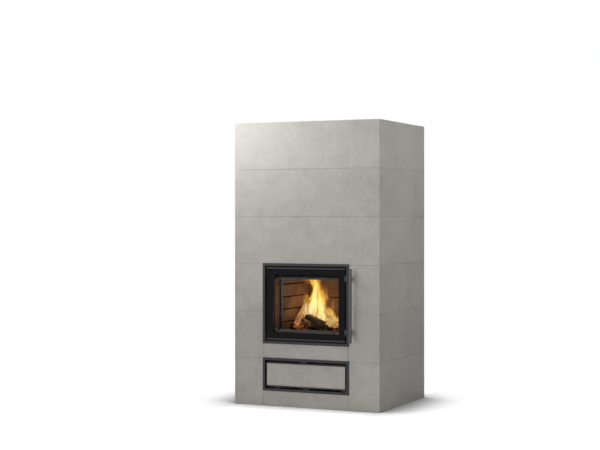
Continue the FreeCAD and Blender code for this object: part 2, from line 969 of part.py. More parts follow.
arm_back = -S.flange_proud - S.arm_clear
arm_front = arm_back - S.arm_plate
arm_end = bar_start + S.arm_plate
near_eye = pivot - eye_radius
far_eye = pivot + eye_radius
finger_half = S.finger_width / 2
hook_start = S.keeper_start + S.keeper_head + S.hook_play
hook_end = hook_start + S.hook_thickness
arm_outline = [
    (near_eye, arm_front),
    (bar_start, arm_front),
    (bar_start, bar_back),
    (arm_end, bar_back),
    (arm_end, arm_back),
    (far_eye, arm_back),
    (far_eye, -S.pivot_out),
    (near_eye, -S.pivot_out),
]
finger_outline = [
    (pivot - finger_half, -S.pivot_out),
    (pivot + finger_half, -S.pivot_out),
    (pivot + finger_half, hook_end),
    (pivot - S.hook_reach, hook_end),
    (pivot - S.hook_reach, hook_start),
    (pivot - finger_half, hook_start),
]
arm_half = S.arm_height / 2
hook_half = S.hook_height / 2
for level, name in zip(arm_levels, ("lower", "upper")):
    arm = new_body("handle_arm_%s" % name, door_middle + level)
    strap = pad(arm, "Z", -arm_half, arm_half, arm_outline)
    bend = soften(
        arm,
        strap,
        S.arm_bend,
        lambda a, b: upright(a, b) and near(a.x, bar_start) and near(a.y, arm_front),
    )
    soften(
        arm,
        bend,
        S.arm_bend + S.arm_plate,
        lambda a, b: upright(a, b) and near(a.x, arm_end) and near(a.y, arm_back),
    )
    pad(arm, "Z", -arm_half, arm_half, barrel(1))
    pad(arm, "Z", -hook_half, hook_half, finger_outline)
    pocket(arm, "Z", -arm_half, arm_half, bore(1, S.pin_run))
    node(arm)

keeper_left = casting_half + S.keeper_stand
keeper_right = pivot - finger_half - S.keeper_clear
keeper_outline = [
    (keeper_left, S.keeper_start),
    (keeper_right, S.keeper_start),
    (keeper_right, S.keeper_start + S.keeper_head),
    (keeper_left + S.keeper_stem, S.keeper_start + S.keeper_head),
    (keeper_left + S.keeper_stem, S.rebate_depth),
    (keeper_left, S.rebate_depth),
]
keepers = []
for level in arm_levels:
    keeper = new_body("spring_keeper", door_middle + level)
    pad(keeper, "Z", -hook_half, hook_half, keeper_outline)
    keepers.append(keeper)
group("spring_keepers", keepers)

# lower unit
drawer_middle = (S.base_filler + S.course_height) / 2
drawer_half_high = (S.course_height - S.base_filler) / 2
drawer_inner_high = drawer_half_high + S.flange_lap - S.flange_face
front_half = flange_inner - S.drawer_gap
front_half_high = drawer_inner_high - S.drawer_gap
node(flanged_frame("drawer_frame", drawer_middle, drawer_half_high, S.slab_thickness))

tray = new_body("drawer_tray", drawer_middle)
tray_back = S.panel_thickness + S.tray_sheet
seat_high = front_half_high - S.tray_sheet
lip_high = front_half_high - S.panel_lip
tray_outline = [
    (-S.lip_sheet, front_half_high),
    (tray_back, front_half_high),
    (tray_back, -front_half_high),
    (-S.lip_sheet, -front_half_high),
    (-S.lip_sheet, -lip_high),
    (0, -lip_high),
    (0, -seat_high),
    (S.panel_thickness, -seat_high),
    (S.panel_thickness, seat_high),
    (0, seat_high),
    (0, lip_high),
    (-S.lip_sheet, lip_high),
]
pad(tray, "X", -front_half, front_half, tray_outline)
tab_end = S.tab_set_back + S.tab_sheet
pad(
    tray,
    "Y",
    S.tab_set_back,
    tab_end,
    rect(-S.drawer_tab_width / 2, S.drawer_tab_width / 2, -front_half_high - S.tab_height, -seat_high),
)
node(tray)

panel = new_body("drawer_stone", drawer_middle)
panel_block = pad(panel, "Y", 0, S.panel_thickness, centred(front_half, seat_high))
bevel(panel, panel_block, S.arris / 2, lambda a, b: near(a.y, 0) and near(b.y, 0) and upright(a, b))
node(panel)

box_low = S.base_filler + S.box_lift
box_half = S.box_width / 2
box_end = pit_start - S.box_back_clear
ash_box = new_body("ash_box", box_low)
pad(ash_box, "Z", 0, S.box_height, rect(-box_half, box_half, tray_back, box_end))
hollow = rect(
    S.box_sheet - box_half,
    box_half - S.box_sheet,
    tray_back + S.box_sheet,
    box_end - S.box_sheet,
)
pocket(ash_box, "Z", S.box_sheet, S.box_height, hollow)
node(ash_box)

runners = []
for side in (-1, 1):
    runner = new_body("runner_%d" % (side + 2), S.base_filler)
    guide_in = box_half + S.guide_clear
    outline = [
        ((guide_in - S.runner_width) * side, 0),
        ((guide_in + S.guide_width) * side, 0),
        ((guide_in + S.guide_width) * side, S.box_lift + S.guide_rise),
        (guide_in * side, S.box_lift + S.guide_rise),
        (guide_in * side, S.box_lift - S.slide_clear),
        ((guide_in - S.runner_width) * side, S.box_lift - S.slide_clear),
    ]
    pad(runner, "Y", core_front + S.runner_margin, pit_start - S.runner_margin, outline)
    runners.append(runner)
group("drawer_runners", runners)

# air control above the drawer
register_top = drawer_half_high - S.stone_fit - S.frame_sheet
register_low = register_top - S.register_height
register_half = return_half - S.frame_sheet
register_start = S.slab_thickness - S.register_sheet
slot_middle = register_top - S.register_height / 2


def air_slots(shift):
    """Openings in a row."""
    loops = []
    for number in range(AIR_SLOTS):
        middle = S.air_slot_pitch * (number - (AIR_SLOTS - 1) / 2) - shift
        loops.append(
            rect(
                middle - S.air_slot_width / 2,
                middle + S.air_slot_width / 2,
                slot_middle - S.air_slot_height / 2,
                slot_middle + S.air_slot_height / 2,
            )
        )
    return loops


register = new_body("air_register", drawer_middle)
pad(
    register,
    "Y",
    register_start,
    S.slab_thickness,
    rect(-register_half, register_half, register_low, register_top),
    *air_slots(dim(0)),
)
node(register)

slide = new_body("air_slide", drawer_middle)
slide_end = register_start - S.slide_clear
slide_start = slide_end - S.slide_sheet
slide_half = (S.air_slot_pitch * (AIR_SLOTS - 1) + S.air_slot_width) / 2 + S.slide_end
slide_left = -S.slide_rest - slide_half
slide_right = slide_half - S.slide_rest
pad(
    slide,
    "Y",
    slide_start,
    slide_end,
    rect(slide_left, slide_right, register_low + S.slide_margin, register_top - S.slide_margin),
    *air_slots(S.slide_rest),
)
air_tab_low = front_half_high + S.air_tab_gap
air_tab_high = air_tab_low + S.tab_height
lever_low = air_tab_high - S.lever_thickness - S.lever_drop
pad(
    slide,
    "Z",
    lever_low,
    lever_low + S.lever_thickness,
    rect(
        -S.slide_rest - S.lever_width / 2,
        S.lever_width / 2 - S.slide_rest,
        S.tab_set_back,
        slide_end,
    ),
)
pad(
    slide,
    "Y",
    S.tab_set_back,
    tab_end,
    rect(
        -S.slide_rest - S.air_tab_width / 2,
        S.air_tab_width / 2 - S.slide_rest,
        air_tab_low,
        air_tab_high,
    ),
)
node(slide)

doc.recompute()

for item in doc.Objects:
    if "Invalid" in item.State or "Error" in item.State:
        raise RuntimeError("%s did not build" % item.Label)

os.makedirs("parts", exist_ok=True)
for item in NODES:
    shape = item.Shape
    if shape.isNull() or not shape.isValid() or not shape.Solids:
        raise RuntimeError("%s has no sound solid" % item.Label)
    shape.exportStep("parts/%s.step" % item.Label)
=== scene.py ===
import json
import math

import bmesh
import bpy
from mathutils import Matrix, Vector, noise


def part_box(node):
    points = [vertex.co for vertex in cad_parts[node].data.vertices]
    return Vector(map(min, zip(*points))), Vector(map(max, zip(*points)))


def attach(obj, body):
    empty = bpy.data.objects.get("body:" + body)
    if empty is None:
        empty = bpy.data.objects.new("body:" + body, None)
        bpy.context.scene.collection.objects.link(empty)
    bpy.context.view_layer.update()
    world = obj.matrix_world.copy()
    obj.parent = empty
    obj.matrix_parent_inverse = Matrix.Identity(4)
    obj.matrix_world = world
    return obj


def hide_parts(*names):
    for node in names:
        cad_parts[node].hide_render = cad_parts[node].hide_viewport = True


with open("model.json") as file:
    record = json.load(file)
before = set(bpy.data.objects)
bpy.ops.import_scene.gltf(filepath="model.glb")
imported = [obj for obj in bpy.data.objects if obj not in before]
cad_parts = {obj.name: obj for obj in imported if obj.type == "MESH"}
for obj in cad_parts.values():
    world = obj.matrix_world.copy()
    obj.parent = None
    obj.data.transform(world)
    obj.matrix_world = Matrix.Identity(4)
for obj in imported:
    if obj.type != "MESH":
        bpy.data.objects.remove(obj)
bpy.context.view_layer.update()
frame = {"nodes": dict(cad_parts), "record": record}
nodes = frame["nodes"]
scene = bpy.context.scene

# Lengths in metres. The front of the stone is at FRONT_Y, the middle of the fire door at DOOR_Z.
FRONT_Y = -0.336
HALF_WIDTH = 0.420
DOOR_Z = 0.546
FLANGE_INNER = 0.237
FLANGE_INNER_HIGH = 0.201
WINDOW_HALF = 0.192
WINDOW_HALF_HIGH = 0.155
PRINT_LAP = 0.0015
THROAT_SILL = (0.386, 0.389)
WINDOW_SILL = (0.396, 0.402)
COURSE = 0.252
BRICK_FLOOR = 0.370
BRICK_COURSE = 0.0676
BACK_COURSE = 0.186
HEARTH_Z = 0.390
DARK_SPOT = (-0.1665, 0.4130)
GOLDEN_ANGLE = 2.399963


def depth(millimetres):
    """World y of a depth behind the stone front."""
    return FRONT_Y + millimetres / 1000


# Node helpers

class Shade:
    """One node material and short ways to add nodes to it."""

    def __init__(self, name, rough, metallic=0.0, specular=0.5):
        self.material = bpy.data.materials.new(name)
        self.material.use_nodes = True
        self.tree = self.material.node_tree
        self.shader = self.tree.nodes["Principled BSDF"]
        self.set("Metallic", metallic)
        self.set("Specular IOR Level", specular)
        self.set("Roughness", rough)
        self.place = self.add("ShaderNodeTexCoord").outputs["Object"]

    def add(self, kind, **settings):
        made = self.tree.nodes.new(kind)
        for key, value in settings.items():
            setattr(made, key, value)
        return made

    def put(self, socket, value):
        """Link a socket, or set it where the value is a constant."""
        if isinstance(value, bpy.types.NodeSocket):
            self.tree.links.new(value, socket)
        else:
            socket.default_value = value

    def set(self, name, value):
        self.put(self.shader.inputs[name], value)

    def stretched(self, x, y, z):
        made = self.add("ShaderNodeMapping")
        self.put(made.inputs["Vector"], self.place)
        made.inputs["Scale"].default_value = (x, y, z)
        return made.outputs[0]

    def noise(self, scale, detail=4.0, rough=0.55, warp=0.0, at=None):
        made = self.add("ShaderNodeTexNoise")
        self.put(made.inputs["Vector"], at or self.place)
        made.inputs["Scale"].default_value = scale
        made.inputs["Detail"].default_value = detail
        made.inputs["Roughness"].default_value = rough
        made.inputs["Distortion"].default_value = warp
        return made.outputs[0]

    def cells(self, scale):
        made = self.add("ShaderNodeTexVoronoi")
        self.put(made.inputs["Vector"], self.place)
        made.inputs["Scale"].default_value = scale
        return made.outputs["Distance"]

    def axis(self, letter):
        made = self.add("ShaderNodeSeparateXYZ")
        self.put(made.inputs[0], self.place)
        return made.outputs[letter]

    def math(self, operation, first, second=0.0):
        made = self.add("ShaderNodeMath", operation=operation)
        for socket, value in zip(made.inputs, (first, second)):
            self.put(socket, value)
        return made.outputs[0]

    def plus(self, first, second):
        return self.math("ADD", first, second)

    def minus(self, first, second):
        return self.math("SUBTRACT", first, second)

    def times(self, first, second):
        return self.math("MULTIPLY", first, second)

    def size(self, value):
        return self.math("ABSOLUTE", value)

    def weigh(self, first, share, second, other):
        """A weighted sum of two values."""
        return self.plus(self.times(first, share), self.times(second, other))

    def past_door(self, half, half_high):
        """How far a point is outside a rectangle round the middle of the door, seen from the front."""
        aside = self.minus(self.size(self.axis("X")), half)
        rise = self.size(self.minus(self.axis("Z"), DOOR_Z))
        return self.math("MAXIMUM", aside, self.minus(rise, half_high))

    def span(self, value, low, high, out_low=0.0, out_high=1.0):
        """A value mapped smoothly from one range to another and held at its ends."""
        made = self.add("ShaderNodeMapRange", interpolation_type="SMOOTHSTEP")
        for socket, item in zip(made.inputs, (value, low, high, out_low, out_high)):
            self.put(socket, item)
        return made.outputs[0]

    def ramp(self, value, *stops):
        made = self.add("ShaderNodeValToRGB")
        self.put(made.inputs[0], value)
        band = made.color_ramp
        while len(band.elements) < len(stops):
            band.elements.new(0.5)
        for element, (place, colour) in zip(band.elements, stops):
            element.position = place
            element.color = (*colour, 1.0)
        return made.outputs[0]

    def mix(self, share, first, second, mode="MIX"):
        made = self.add("ShaderNodeMix", data_type="RGBA", blend_type=mode)
        for place, value in ((0, share), (6, first), (7, second)):
            self.put(made.inputs[place], (*value, 1.0) if isinstance(value, tuple) else value)
        return made.outputs[2]

    def tint(self, first, second):
        return self.mix(1.0, first, second, "MULTIPLY")

    def attribute(self, name):
        return self.add("ShaderNodeAttribute", attribute_name=name).outputs["Fac"]

    def bump(self, height, distance, strength=1.0):
        """Add relief on top of any relief that the shader already has."""
        made = self.add("ShaderNodeBump")
        made.inputs["Distance"].default_value = distance
        made.inputs["Strength"].default_value = strength
        self.put(made.inputs["Height"], height)
        normal = self.shader.inputs["Normal"]
        if normal.is_linked:
            self.put(made.inputs["Normal"], normal.links[0].from_socket)
        self.set("Normal", made.outputs[0])


# Materials

def soapstone(name, dark, light, shine):
    """Honed soapstone: clouds, darker chlorite flakes, pale talc flecks and faint saw lines."""
    s = Shade(name, 0.4, specular=shine)
    cloud = s.noise(2.6, 5.0, 0.6, 0.6)
    patch = s.noise(13.0, 6.0, 0.62, 0.8)
    grain = s.noise(420.0, 3.0, 0.7)
    base = s.ramp(s.weigh(cloud, 0.36, patch, 0.64), (0.34, dark), (0.66, light))
    warm = s.ramp(s.noise(1.7, 3.0, 0.5, at=s.stretched(1.0, 1.0, 1.6)),
                  (0.36, (0.995, 0.991, 0.992)), (0.64, (1.025, 0.996, 0.962)))
    base = s.tint(base, warm)
    course = s.add("ShaderNodeTexWhiteNoise", noise_dimensions="1D")
    s.put(course.inputs["W"], s.math("FLOOR", s.math("DIVIDE", s.axis("Z"), COURSE)))
    tone = s.ramp(course.outputs["Value"], (0.0, (0.97, 0.97, 0.975)), (1.0, (1.03, 1.03, 1.02)))
    base = s.tint(base, tone)
    flakes = s.span(s.noise(95.0, 4.0, 0.65, 1.2), 0.56, 0.74)
    base = s.mix(s.times(flakes, 0.22), base, tuple(0.62 * c for c in dark))
    talc = s.span(s.noise(150.0, 2.0, 0.5, 2.0), 0.62, 0.78)
    base = s.mix(s.times(talc, 0.25), base, tuple(1.5 * c for c in light))
    streak = s.noise(9.0, 4.0, 0.6, at=s.stretched(7.0, 7.0, 0.5))
    base = s.mix(0.16, base, s.ramp(streak, (0.3, dark), (0.7, light)))
    base = s.mix(0.10, base, s.ramp(grain, (0.3, (0.08, 0.08, 0.08)), (0.7, (0.7, 0.69, 0.66))))
    s.set("Base Color", base)
    s.set("Roughness", s.span(s.plus(patch, s.times(talc, 0.3)), 0.3, 0.9, 0.36, 0.52))
    s.bump(patch, 0.0006, 0.35)
    s.bump(grain, 0.0001, 0.5)
    return s.material


def coated_steel(name, dark, light, door=False):
    """Stove paint on sheet steel. The door frame is painted near-black round the leaf, as painted shade for
    the gap and the front of the throat, and browned in its throat.
    """
    s = Shade(name, 0.5, specular=0.28)
    cloud = s.noise(7.0, 4.0, 0.6)
    peel = s.noise(1300.0, 2.0, 0.5)
    tone = s.weigh(cloud, 0.7, peel, 0.3)
    base = s.ramp(tone, (0.3, dark), (0.7, light))
    rub = s.span(s.noise(42.0, 5.0, 0.7, 1.5), 0.63, 0.8)
    base = s.mix(s.times(rub, 0.25), base, tuple(1.6 * c for c in light))
    if door:
        # Painted shade: near-black paint inside the flange, where the gap round the leaf lies in shade.
        gap_shade = s.span(s.past_door(FLANGE_INNER, FLANGE_INNER_HIGH), -0.0006, -0.0002, 1.0, 0.0)
        black = s.ramp(tone, (0.3, (0.020, 0.020, 0.020)), (0.7, (0.030, 0.030, 0.030)))
        base = s.mix(gap_shade, base, black)
        hot = s.times(s.span(s.axis("Y"), depth(38), depth(40)), s.span(s.axis("Z"), *THROAT_SILL))
        burnt = s.ramp(s.noise(16.0, 5.0, 0.65, 0.8),
                       (0.3, (0.22, 0.135, 0.092)), (0.7, (0.36, 0.222, 0.148)))
        base = s.mix(hot, base, burnt)
        # Little gloss in the painted shade, so it shows no reflection there.
        s.set("Specular IOR Level", s.span(gap_shade, 0.0, 1.0, 0.28, 0.06))
    s.set("Base Color", base)
    s.set("Roughness", s.span(cloud, 0.3, 0.7, 0.42, 0.56))
    s.bump(peel, 0.00012, 0.5)
    return s.material


def brushed_steel(name, dark, light, along):
    """Satin steel with fine lines along one axis."""
    s = Shade(name, 0.42, metallic=0.3, specular=0.35)
    scale = [60.0 if letter == along else 1600.0 for letter in "XYZ"]
    lines = s.noise(1.0, 3.0, 0.6, at=s.stretched(*scale))
    cloud = s.noise(9.0, 4.0, 0.6)
    s.set("Base Color", s.ramp(s.weigh(lines, 0.6, cloud, 0.4), (0.3, dark), (0.7, light)))
    s.set("Roughness", s.span(lines, 0.3, 0.7, 0.34, 0.5))
    s.bump(lines, 0.00006, 0.5)
    return s.material


def plain_steel(name, dark, light):
    """Mill-finish sheet with rolling marks, oil stains and heat tints."""
    s = Shade(name, 0.45, metallic=0.7)
    roll = s.noise(1.0, 3.0, 0.6, at=s.stretched(12.0, 260.0, 260.0))
    stain = s.noise(15.0, 6.0, 0.65, 1.2)
    base = s.ramp(s.weigh(roll, 0.45, stain, 0.55), (0.3, dark), (0.7, light))
    tint = s.span(s.noise(6.0, 4.0, 0.6, 0.8), 0.52, 0.72)
    s.set("Base Color", s.mix(s.times(tint, 0.3), base, (0.10, 0.068, 0.045)))
    s.set("Roughness", s.span(stain, 0.3, 0.7, 0.36, 0.56))
    s.bump(roll, 0.00008, 0.4)
    return s.material


def hot_sheet(name, dark, light, painted_shade_from=None):
    """Fire-dulled sheet with a little ash, painted near-black from a given depth on: painted shade where the
    sheet lies in shadow.
    """
    s = Shade(name, 0.6, specular=0.25)
    cloud = s.noise(22.0, 5.0, 0.65, 0.8)
    base = s.ramp(cloud, (0.3, dark), (0.7, light))
    ash = s.span(s.noise(120.0, 4.0, 0.7), 0.58, 0.75)
    base = s.mix(s.times(ash, 0.12), base, tuple(1.8 * c for c in light))
    if painted_shade_from:
        # Painted shade: near-black from the given depth backwards.
        black = s.ramp(cloud, (0.3, (0.004, 0.004, 0.004)), (0.7, (0.010, 0.009, 0.008)))
        base = s.mix(s.span(s.axis("Y"), depth(painted_shade_from), depth(painted_shade_from + 0.6)), base, black)
    s.set("Base Color", base)
    s.set("Roughness", s.span(cloud, 0.3, 0.7, 0.5, 0.7))
    s.bump(s.noise(700.0, 2.0), 0.00012, 0.5)
    return s.material


def cast_iron(name, dark, light, painted=False):
    """Sand-cast iron with a pitted skin. The grate rusts; the painted door leaf browns in its window."""
    s = Shade(name, 0.62, metallic=0.0 if painted else 0.35, specular=0.15 if painted else 0.35)
    sand = s.noise(520.0, 4.0, 0.65)
    cloud = s.noise(18.0, 5.0, 0.6, 0.5)
    base = s.ramp(s.weigh(cloud, 0.6, sand, 0.4), (0.3, dark), (0.7, light))
    rust = s.span(s.noise(36.0, 6.0, 0.7, 1.0), 0.6, 0.76)
    base = s.mix(s.times(rust, 0.1 if painted else 0.35), base, (0.10, 0.045, 0.022))
    if painted:
        window = s.span(s.past_door(WINDOW_HALF, WINDOW_HALF_HIGH), 0.0003, 0.0008, 1.0, 0.0)
        hot = s.times(window, s.span(s.axis("Z"), *WINDOW_SILL))
        base = s.mix(hot, base, s.ramp(cloud, (0.3, (0.15, 0.095, 0.068)), (0.7, (0.24, 0.155, 0.112))))
    s.set("Base Color", base)
    s.set("Roughness", s.span(sand, 0.3, 0.7, 0.5, 0.75))
    s.bump(sand, 0.0004, 0.6)
    s.bump(s.noise(70.0, 3.0), 0.0008, 0.25)
    return s.material


def firebrick(name, pitch, tint):
    """Pressed fireclay with grog specks, smoke marks and sooty joints at a given pitch."""
    s = Shade(name, 0.9, specular=0.15)
    cloud = s.noise(8.0, 5.0, 0.6, 0.6)
    grog = s.noise(210.0, 4.0, 0.7)
    base = s.ramp(s.weigh(cloud, 0.6, grog, 0.4), (0.3, (0.27, 0.19, 0.125)), (0.7, (0.44, 0.33, 0.23)))
    base = s.tint(base, tint)
    speck = s.span(s.cells(230.0), 0.05, 0.22, 1.0, 0.0)
    base = s.mix(s.times(speck, 0.45), base, (0.12, 0.075, 0.05))
    smoke = s.span(s.noise(5.0, 5.0, 0.65, 1.0), 0.46, 0.75)
    base = s.mix(s.times(smoke, 0.4), base, (0.10, 0.065, 0.042))
    turn = s.math("FRACT", s.math("DIVIDE", s.minus(s.axis("Z"), BRICK_FLOOR), pitch))
    away = s.times(s.minus(0.5, s.size(s.minus(turn, 0.5))), pitch)
    joint = s.span(s.plus(away, s.times(s.noise(60.0), 0.003)), 0.0036, 0.0062, 1.0, 0.0)
    s.set("Base Color", s.mix(s.times(joint, 0.93), base, (0.012, 0.008, 0.006)))
    s.set("Roughness", s.span(grog, 0.3, 0.7, 0.82, 0.98))
    s.bump(grog, 0.0006, 0.6)
    s.bump(cloud, 0.002, 0.25)
    return s.material


def cast_stone(name, dark, light):
    """Refractory concrete, cloudy and gritty, with pores."""
    s = Shade(name, 0.88, specular=0.2)
    cloud = s.noise(6.0, 5.0, 0.62, 0.5)
    grit = s.noise(180.0, 4.0, 0.7)
    base = s.ramp(s.weigh(cloud, 0.55, grit, 0.45), (0.3, dark), (0.7, light))
    pore = s.span(s.cells(120.0), 0.04, 0.14, 1.0, 0.0)
    s.set("Base Color", s.mix(s.times(pore, 0.5), base, tuple(0.4 * c for c in dark)))
    s.set("Roughness", s.span(grit, 0.3, 0.7, 0.8, 0.95))
    s.bump(grit, 0.0008, 0.5)
    return s.material


def rope_yarn(name, dark, light):
    """Glass-fibre yarn, greyed by smoke."""
    s = Shade(name, 0.95, specular=0.1)
    fibre = s.noise(900.0, 3.0, 0.6)
    smoke = s.noise(30.0, 4.0, 0.6, 0.6)
    s.set("Base Color", s.ramp(s.weigh(smoke, 0.6, fibre, 0.4), (0.3, dark), (0.7, light)))
    s.set("Roughness", s.span(fibre, 0.3, 0.7, 0.86, 1.0))
    s.bump(fibre, 0.0003, 0.6)
    return s.material


def stove_glass(name):
    """Ceramic glass: a black printed border, a clear field smoky along its edges, and one dark round spot.
    """
    s = Shade(name, 0.09, specular=0.06)
    outside = s.past_door(WINDOW_HALF - PRINT_LAP, WINDOW_HALF_HIGH - PRINT_LAP)
    printed = s.span(outside, -0.0004, 0.0004)
    haze = s.times(s.span(outside, -0.05, 0.0), s.noise(24.0, 5.0, 0.6, 0.8))
    clear = s.plus(0.02, s.times(haze, 0.16))
    ink = s.ramp(s.noise(600.0, 2.0), (0.3, (0.0054, 0.0054, 0.0056)), (0.7, (0.0082, 0.0082, 0.0082)))
    # A dark round spot on the glass, low at the left of the window.
    aside = s.minus(s.axis("X"), DARK_SPOT[0])
    above = s.minus(s.axis("Z"), DARK_SPOT[1])
    away = s.math("SQRT", s.plus(s.times(aside, aside), s.times(above, above)))
    away = s.plus(away, s.times(s.minus(s.noise(90.0, 4.0, 0.6), 0.5), 0.012))
    dark_spot = s.span(away, 0.008, 0.0155, 0.9, 0.0)
    s.set("Base Color", s.mix(printed, s.mix(dark_spot, (0.012, 0.010, 0.008), (0.030, 0.030, 0.031)), ink))
    s.set("Alpha", s.math("MAXIMUM", printed, s.math("MAXIMUM", clear, dark_spot)))
    s.set("Roughness", s.span(s.noise(30.0, 4.0), 0.3, 0.7, 0.07, 0.13))
    return s.material


def pale_board(name):
    """Pressed mineral fibre."""
    s = Shade(name, 0.95, specular=0.1)
    felt = s.noise(1.0, 5.0, 0.7, at=s.stretched(90.0, 30.0, 200.0))
    s.set("Base Color", s.ramp(felt, (0.3, (0.52, 0.49, 0.42)), (0.7, (0.68, 0.65, 0.58))))
    s.set("Roughness", s.span(felt, 0.3, 0.7, 0.88, 1.0))
    s.bump(felt, 0.0012, 0.6)
    return s.material


def charred_wood(name, pale, brown, glow=1.0, lit=None):
    """Burning wood, streaked along its grain: cracked char, ash on top, glowing embers, and painted
    firelight: given a lit colour, the whole log glows in its own colour tinted by it.
    """
    s = Shade(name, 0.9, specular=0.15)
    s.place = s.add("ShaderNodeAttribute", attribute_name="grain").outputs["Vector"]
    fibre = s.noise(1.0, 4.0, 0.6, 0.8, at=s.stretched(9.0, 95.0, 95.0))
    patch = s.noise(34.0, 5.0, 0.65, 1.0)
    check = s.noise(1.0, 4.0, 0.7, 1.4, at=s.stretched(170.0, 90.0, 90.0))
    wood = s.ramp(fibre, (0.40, brown), (0.58, pale))
    mottle = s.times(s.minus(s.plus(patch, fibre), 1.0), 0.9)
    burnt = s.span(s.plus(s.attribute("burnt"), mottle), 0.38, 0.62)
    char = s.ramp(patch, (0.35, (0.005, 0.005, 0.005)), (0.7, (0.024, 0.022, 0.018)))
    base = s.mix(burnt, wood, char)
    ash = s.times(s.span(s.plus(fibre, s.times(patch, 0.6)), 0.66, 0.95), s.attribute("ash"))
    base = s.mix(ash, base, (0.36, 0.27, 0.16))
    crack = s.times(s.span(check, 0.40, 0.47, 1.0, 0.0), burnt)
    base = s.mix(s.times(crack, 0.7), base, (0.004, 0.004, 0.004))
    s.set("Base Color", base)
    ember = s.times(s.attribute("ember"), s.span(patch, 0.44, 0.68))
    shine = s.ramp(ember, (0.0, (0.0, 0.0, 0.0)), (0.4, (0.40, 0.055, 0.005)), (1.0, (1.0, 0.32, 0.06)))
    # Painted firelight: the wood's colour times the lit tint is added to the glow everywhere.
    if lit:
        shine = s.mix(1.0, shine, s.tint(base, lit), "ADD")
    s.set("Emission Color", shine)
    s.set("Emission Strength", glow)
    s.set("Roughness", s.span(patch, 0.3, 0.7, 0.8, 0.98))
    s.bump(check, 0.002, 0.5)
    s.bump(fibre, 0.0015, 0.6)
    return s.material


def flame_gas(name, strength, veil, streaks):
    """Burning gas in streaks, paler at its root: light follows the tongue's warmth, opacity its fade."""
    s = Shade(name, 1.0, specular=0.0)
    s.set("Base Color", (0.0, 0.0, 0.0, 1.0))
    streak = s.noise(1.0, 3.0, 0.5, 1.0, at=s.stretched(46.0, 46.0, 8.0))
    lick = s.noise(1.0, 3.0, 0.55, 1.4, at=s.stretched(120.0, 120.0, 26.0))
    root = s.attribute("root")
    fine = s.times(s.minus(lick, 0.5), s.span(root, 0.0, 1.0, 0.35 * streaks, 1.7 * streaks))
    flicker = s.plus(s.times(s.minus(streak, 0.5), streaks), fine)
    warmth = s.plus(s.attribute("warmth"), flicker)
    tongue = s.ramp(warmth, (0.0, (0.40, 0.12, 0.014)), (0.26, (0.72, 0.30, 0.036)),
                    (0.50, (0.96, 0.57, 0.10)), (0.74, (1.0, 0.84, 0.22)), (1.0, (1.0, 0.98, 0.40)))
    base = s.ramp(warmth, (0.0, (0.30, 0.10, 0.040)), (0.30, (0.62, 0.30, 0.12)),
                  (0.60, (0.94, 0.68, 0.29)), (0.95, (1.0, 0.94, 0.42)))
    s.set("Emission Color", s.mix(root, tongue, base))
    s.set("Emission Strength", strength)
    body = s.span(s.plus(s.attribute("fade"), s.times(flicker, 0.35)), 0.0, 1.0, 0.0, veil)
    face = s.times(body, s.span(s.attribute("fade"), 0.0, 0.45))
    # One sheet stands for the near and the far face of the tongue.
    s.set("Alpha", s.times(face, s.minus(2.0, face)))
    return s.material


STONE = soapstone("soapstone", (0.232, 0.222, 0.206), (0.322, 0.310, 0.288), shine=0.30)
CORE = cast_stone("core_stone", (0.20, 0.195, 0.185), (0.33, 0.32, 0.305))
SOOTY_CORE = cast_stone("sooty_core_stone", (0.070, 0.060, 0.056), (0.130, 0.112, 0.104))
SIDE_BRICK = firebrick("side_firebrick", BRICK_COURSE, (1.0, 0.98, 0.98))
BACK_BRICK = firebrick("back_firebrick", BACK_COURSE, (0.86, 0.72, 0.56))
BOARD = pale_board("insulation")
PAINT = ((0.034, 0.0315, 0.0355), (0.044, 0.041, 0.046))
FRAME_STEEL = coated_steel("dark_steel", *PAINT)
DOOR_STEEL = coated_steel("dark_steel_door", *PAINT, door=True)
HANDLE_STEEL = brushed_steel("handle_steel", (0.100, 0.095, 0.104), (0.150, 0.142, 0.154), along="Z")
IRON = cast_iron("cast_iron", (0.030, 0.029, 0.028), (0.075, 0.072, 0.07))
LEAF_IRON = cast_iron("painted_iron", (0.009, 0.009, 0.009), (0.017, 0.016, 0.016), painted=True)
DARK_PIN = coated_steel("blackened_steel", (0.008, 0.008, 0.008), (0.014, 0.014, 0.014))
SHEET_STEEL = plain_steel("bare_steel", (0.20, 0.195, 0.19), (0.40, 0.39, 0.38))
# The deflector is painted near-black behind its lip: painted shade.
LIP_STEEL = hot_sheet("deflector_steel", (0.052, 0.053, 0.056), (0.072, 0.073, 0.076), painted_shade_from=42.2)
GUARD_STEEL = hot_sheet("guard_steel", (0.056, 0.056, 0.057), (0.078, 0.078, 0.078))
SCREW_STEEL = hot_sheet("screw_steel", (0.085, 0.055, 0.038), (0.14, 0.092, 0.062))
GLASS = stove_glass("door_glass")
YARN = rope_yarn("seal_rope", (0.30, 0.28, 0.26), (0.62, 0.59, 0.55))
SMOKED_YARN = rope_yarn("smoked_rope", (0.20, 0.17, 0.155), (0.56, 0.49, 0.45))

SLOT_LOOKS = {
    "soapstone": STONE,
    "core_stone": CORE,
    "firebrick": SIDE_BRICK,
    "insulation": BOARD,
    "dark_steel": FRAME_STEEL,
    "handle_steel": HANDLE_STEEL,
    "cast_iron": IRON,
    "bare_steel": SHEET_STEEL,
    "seal_rope": YARN,
    "door_glass": GLASS,
}
NODE_LOOKS = {
    "back_firebricks": BACK_BRICK,
    "door_frame": DOOR_STEEL,
    "air_deflector": LIP_STEEL,
    "log_guard": GUARD_STEEL,
    "door_leaf": LEAF_IRON,
    "hinge_pins": DARK_PIN,
    "handle_pins": DARK_PIN,
    "mouth_jambs": SOOTY_CORE,
    "handle_arm_upper": FRAME_STEEL,
    "handle_arm_lower": FRAME_STEEL,
}


def dress(item, material):
    if not item.material_slots:
        item.data.materials.append(material)
    for place in item.material_slots:
        place.material = material


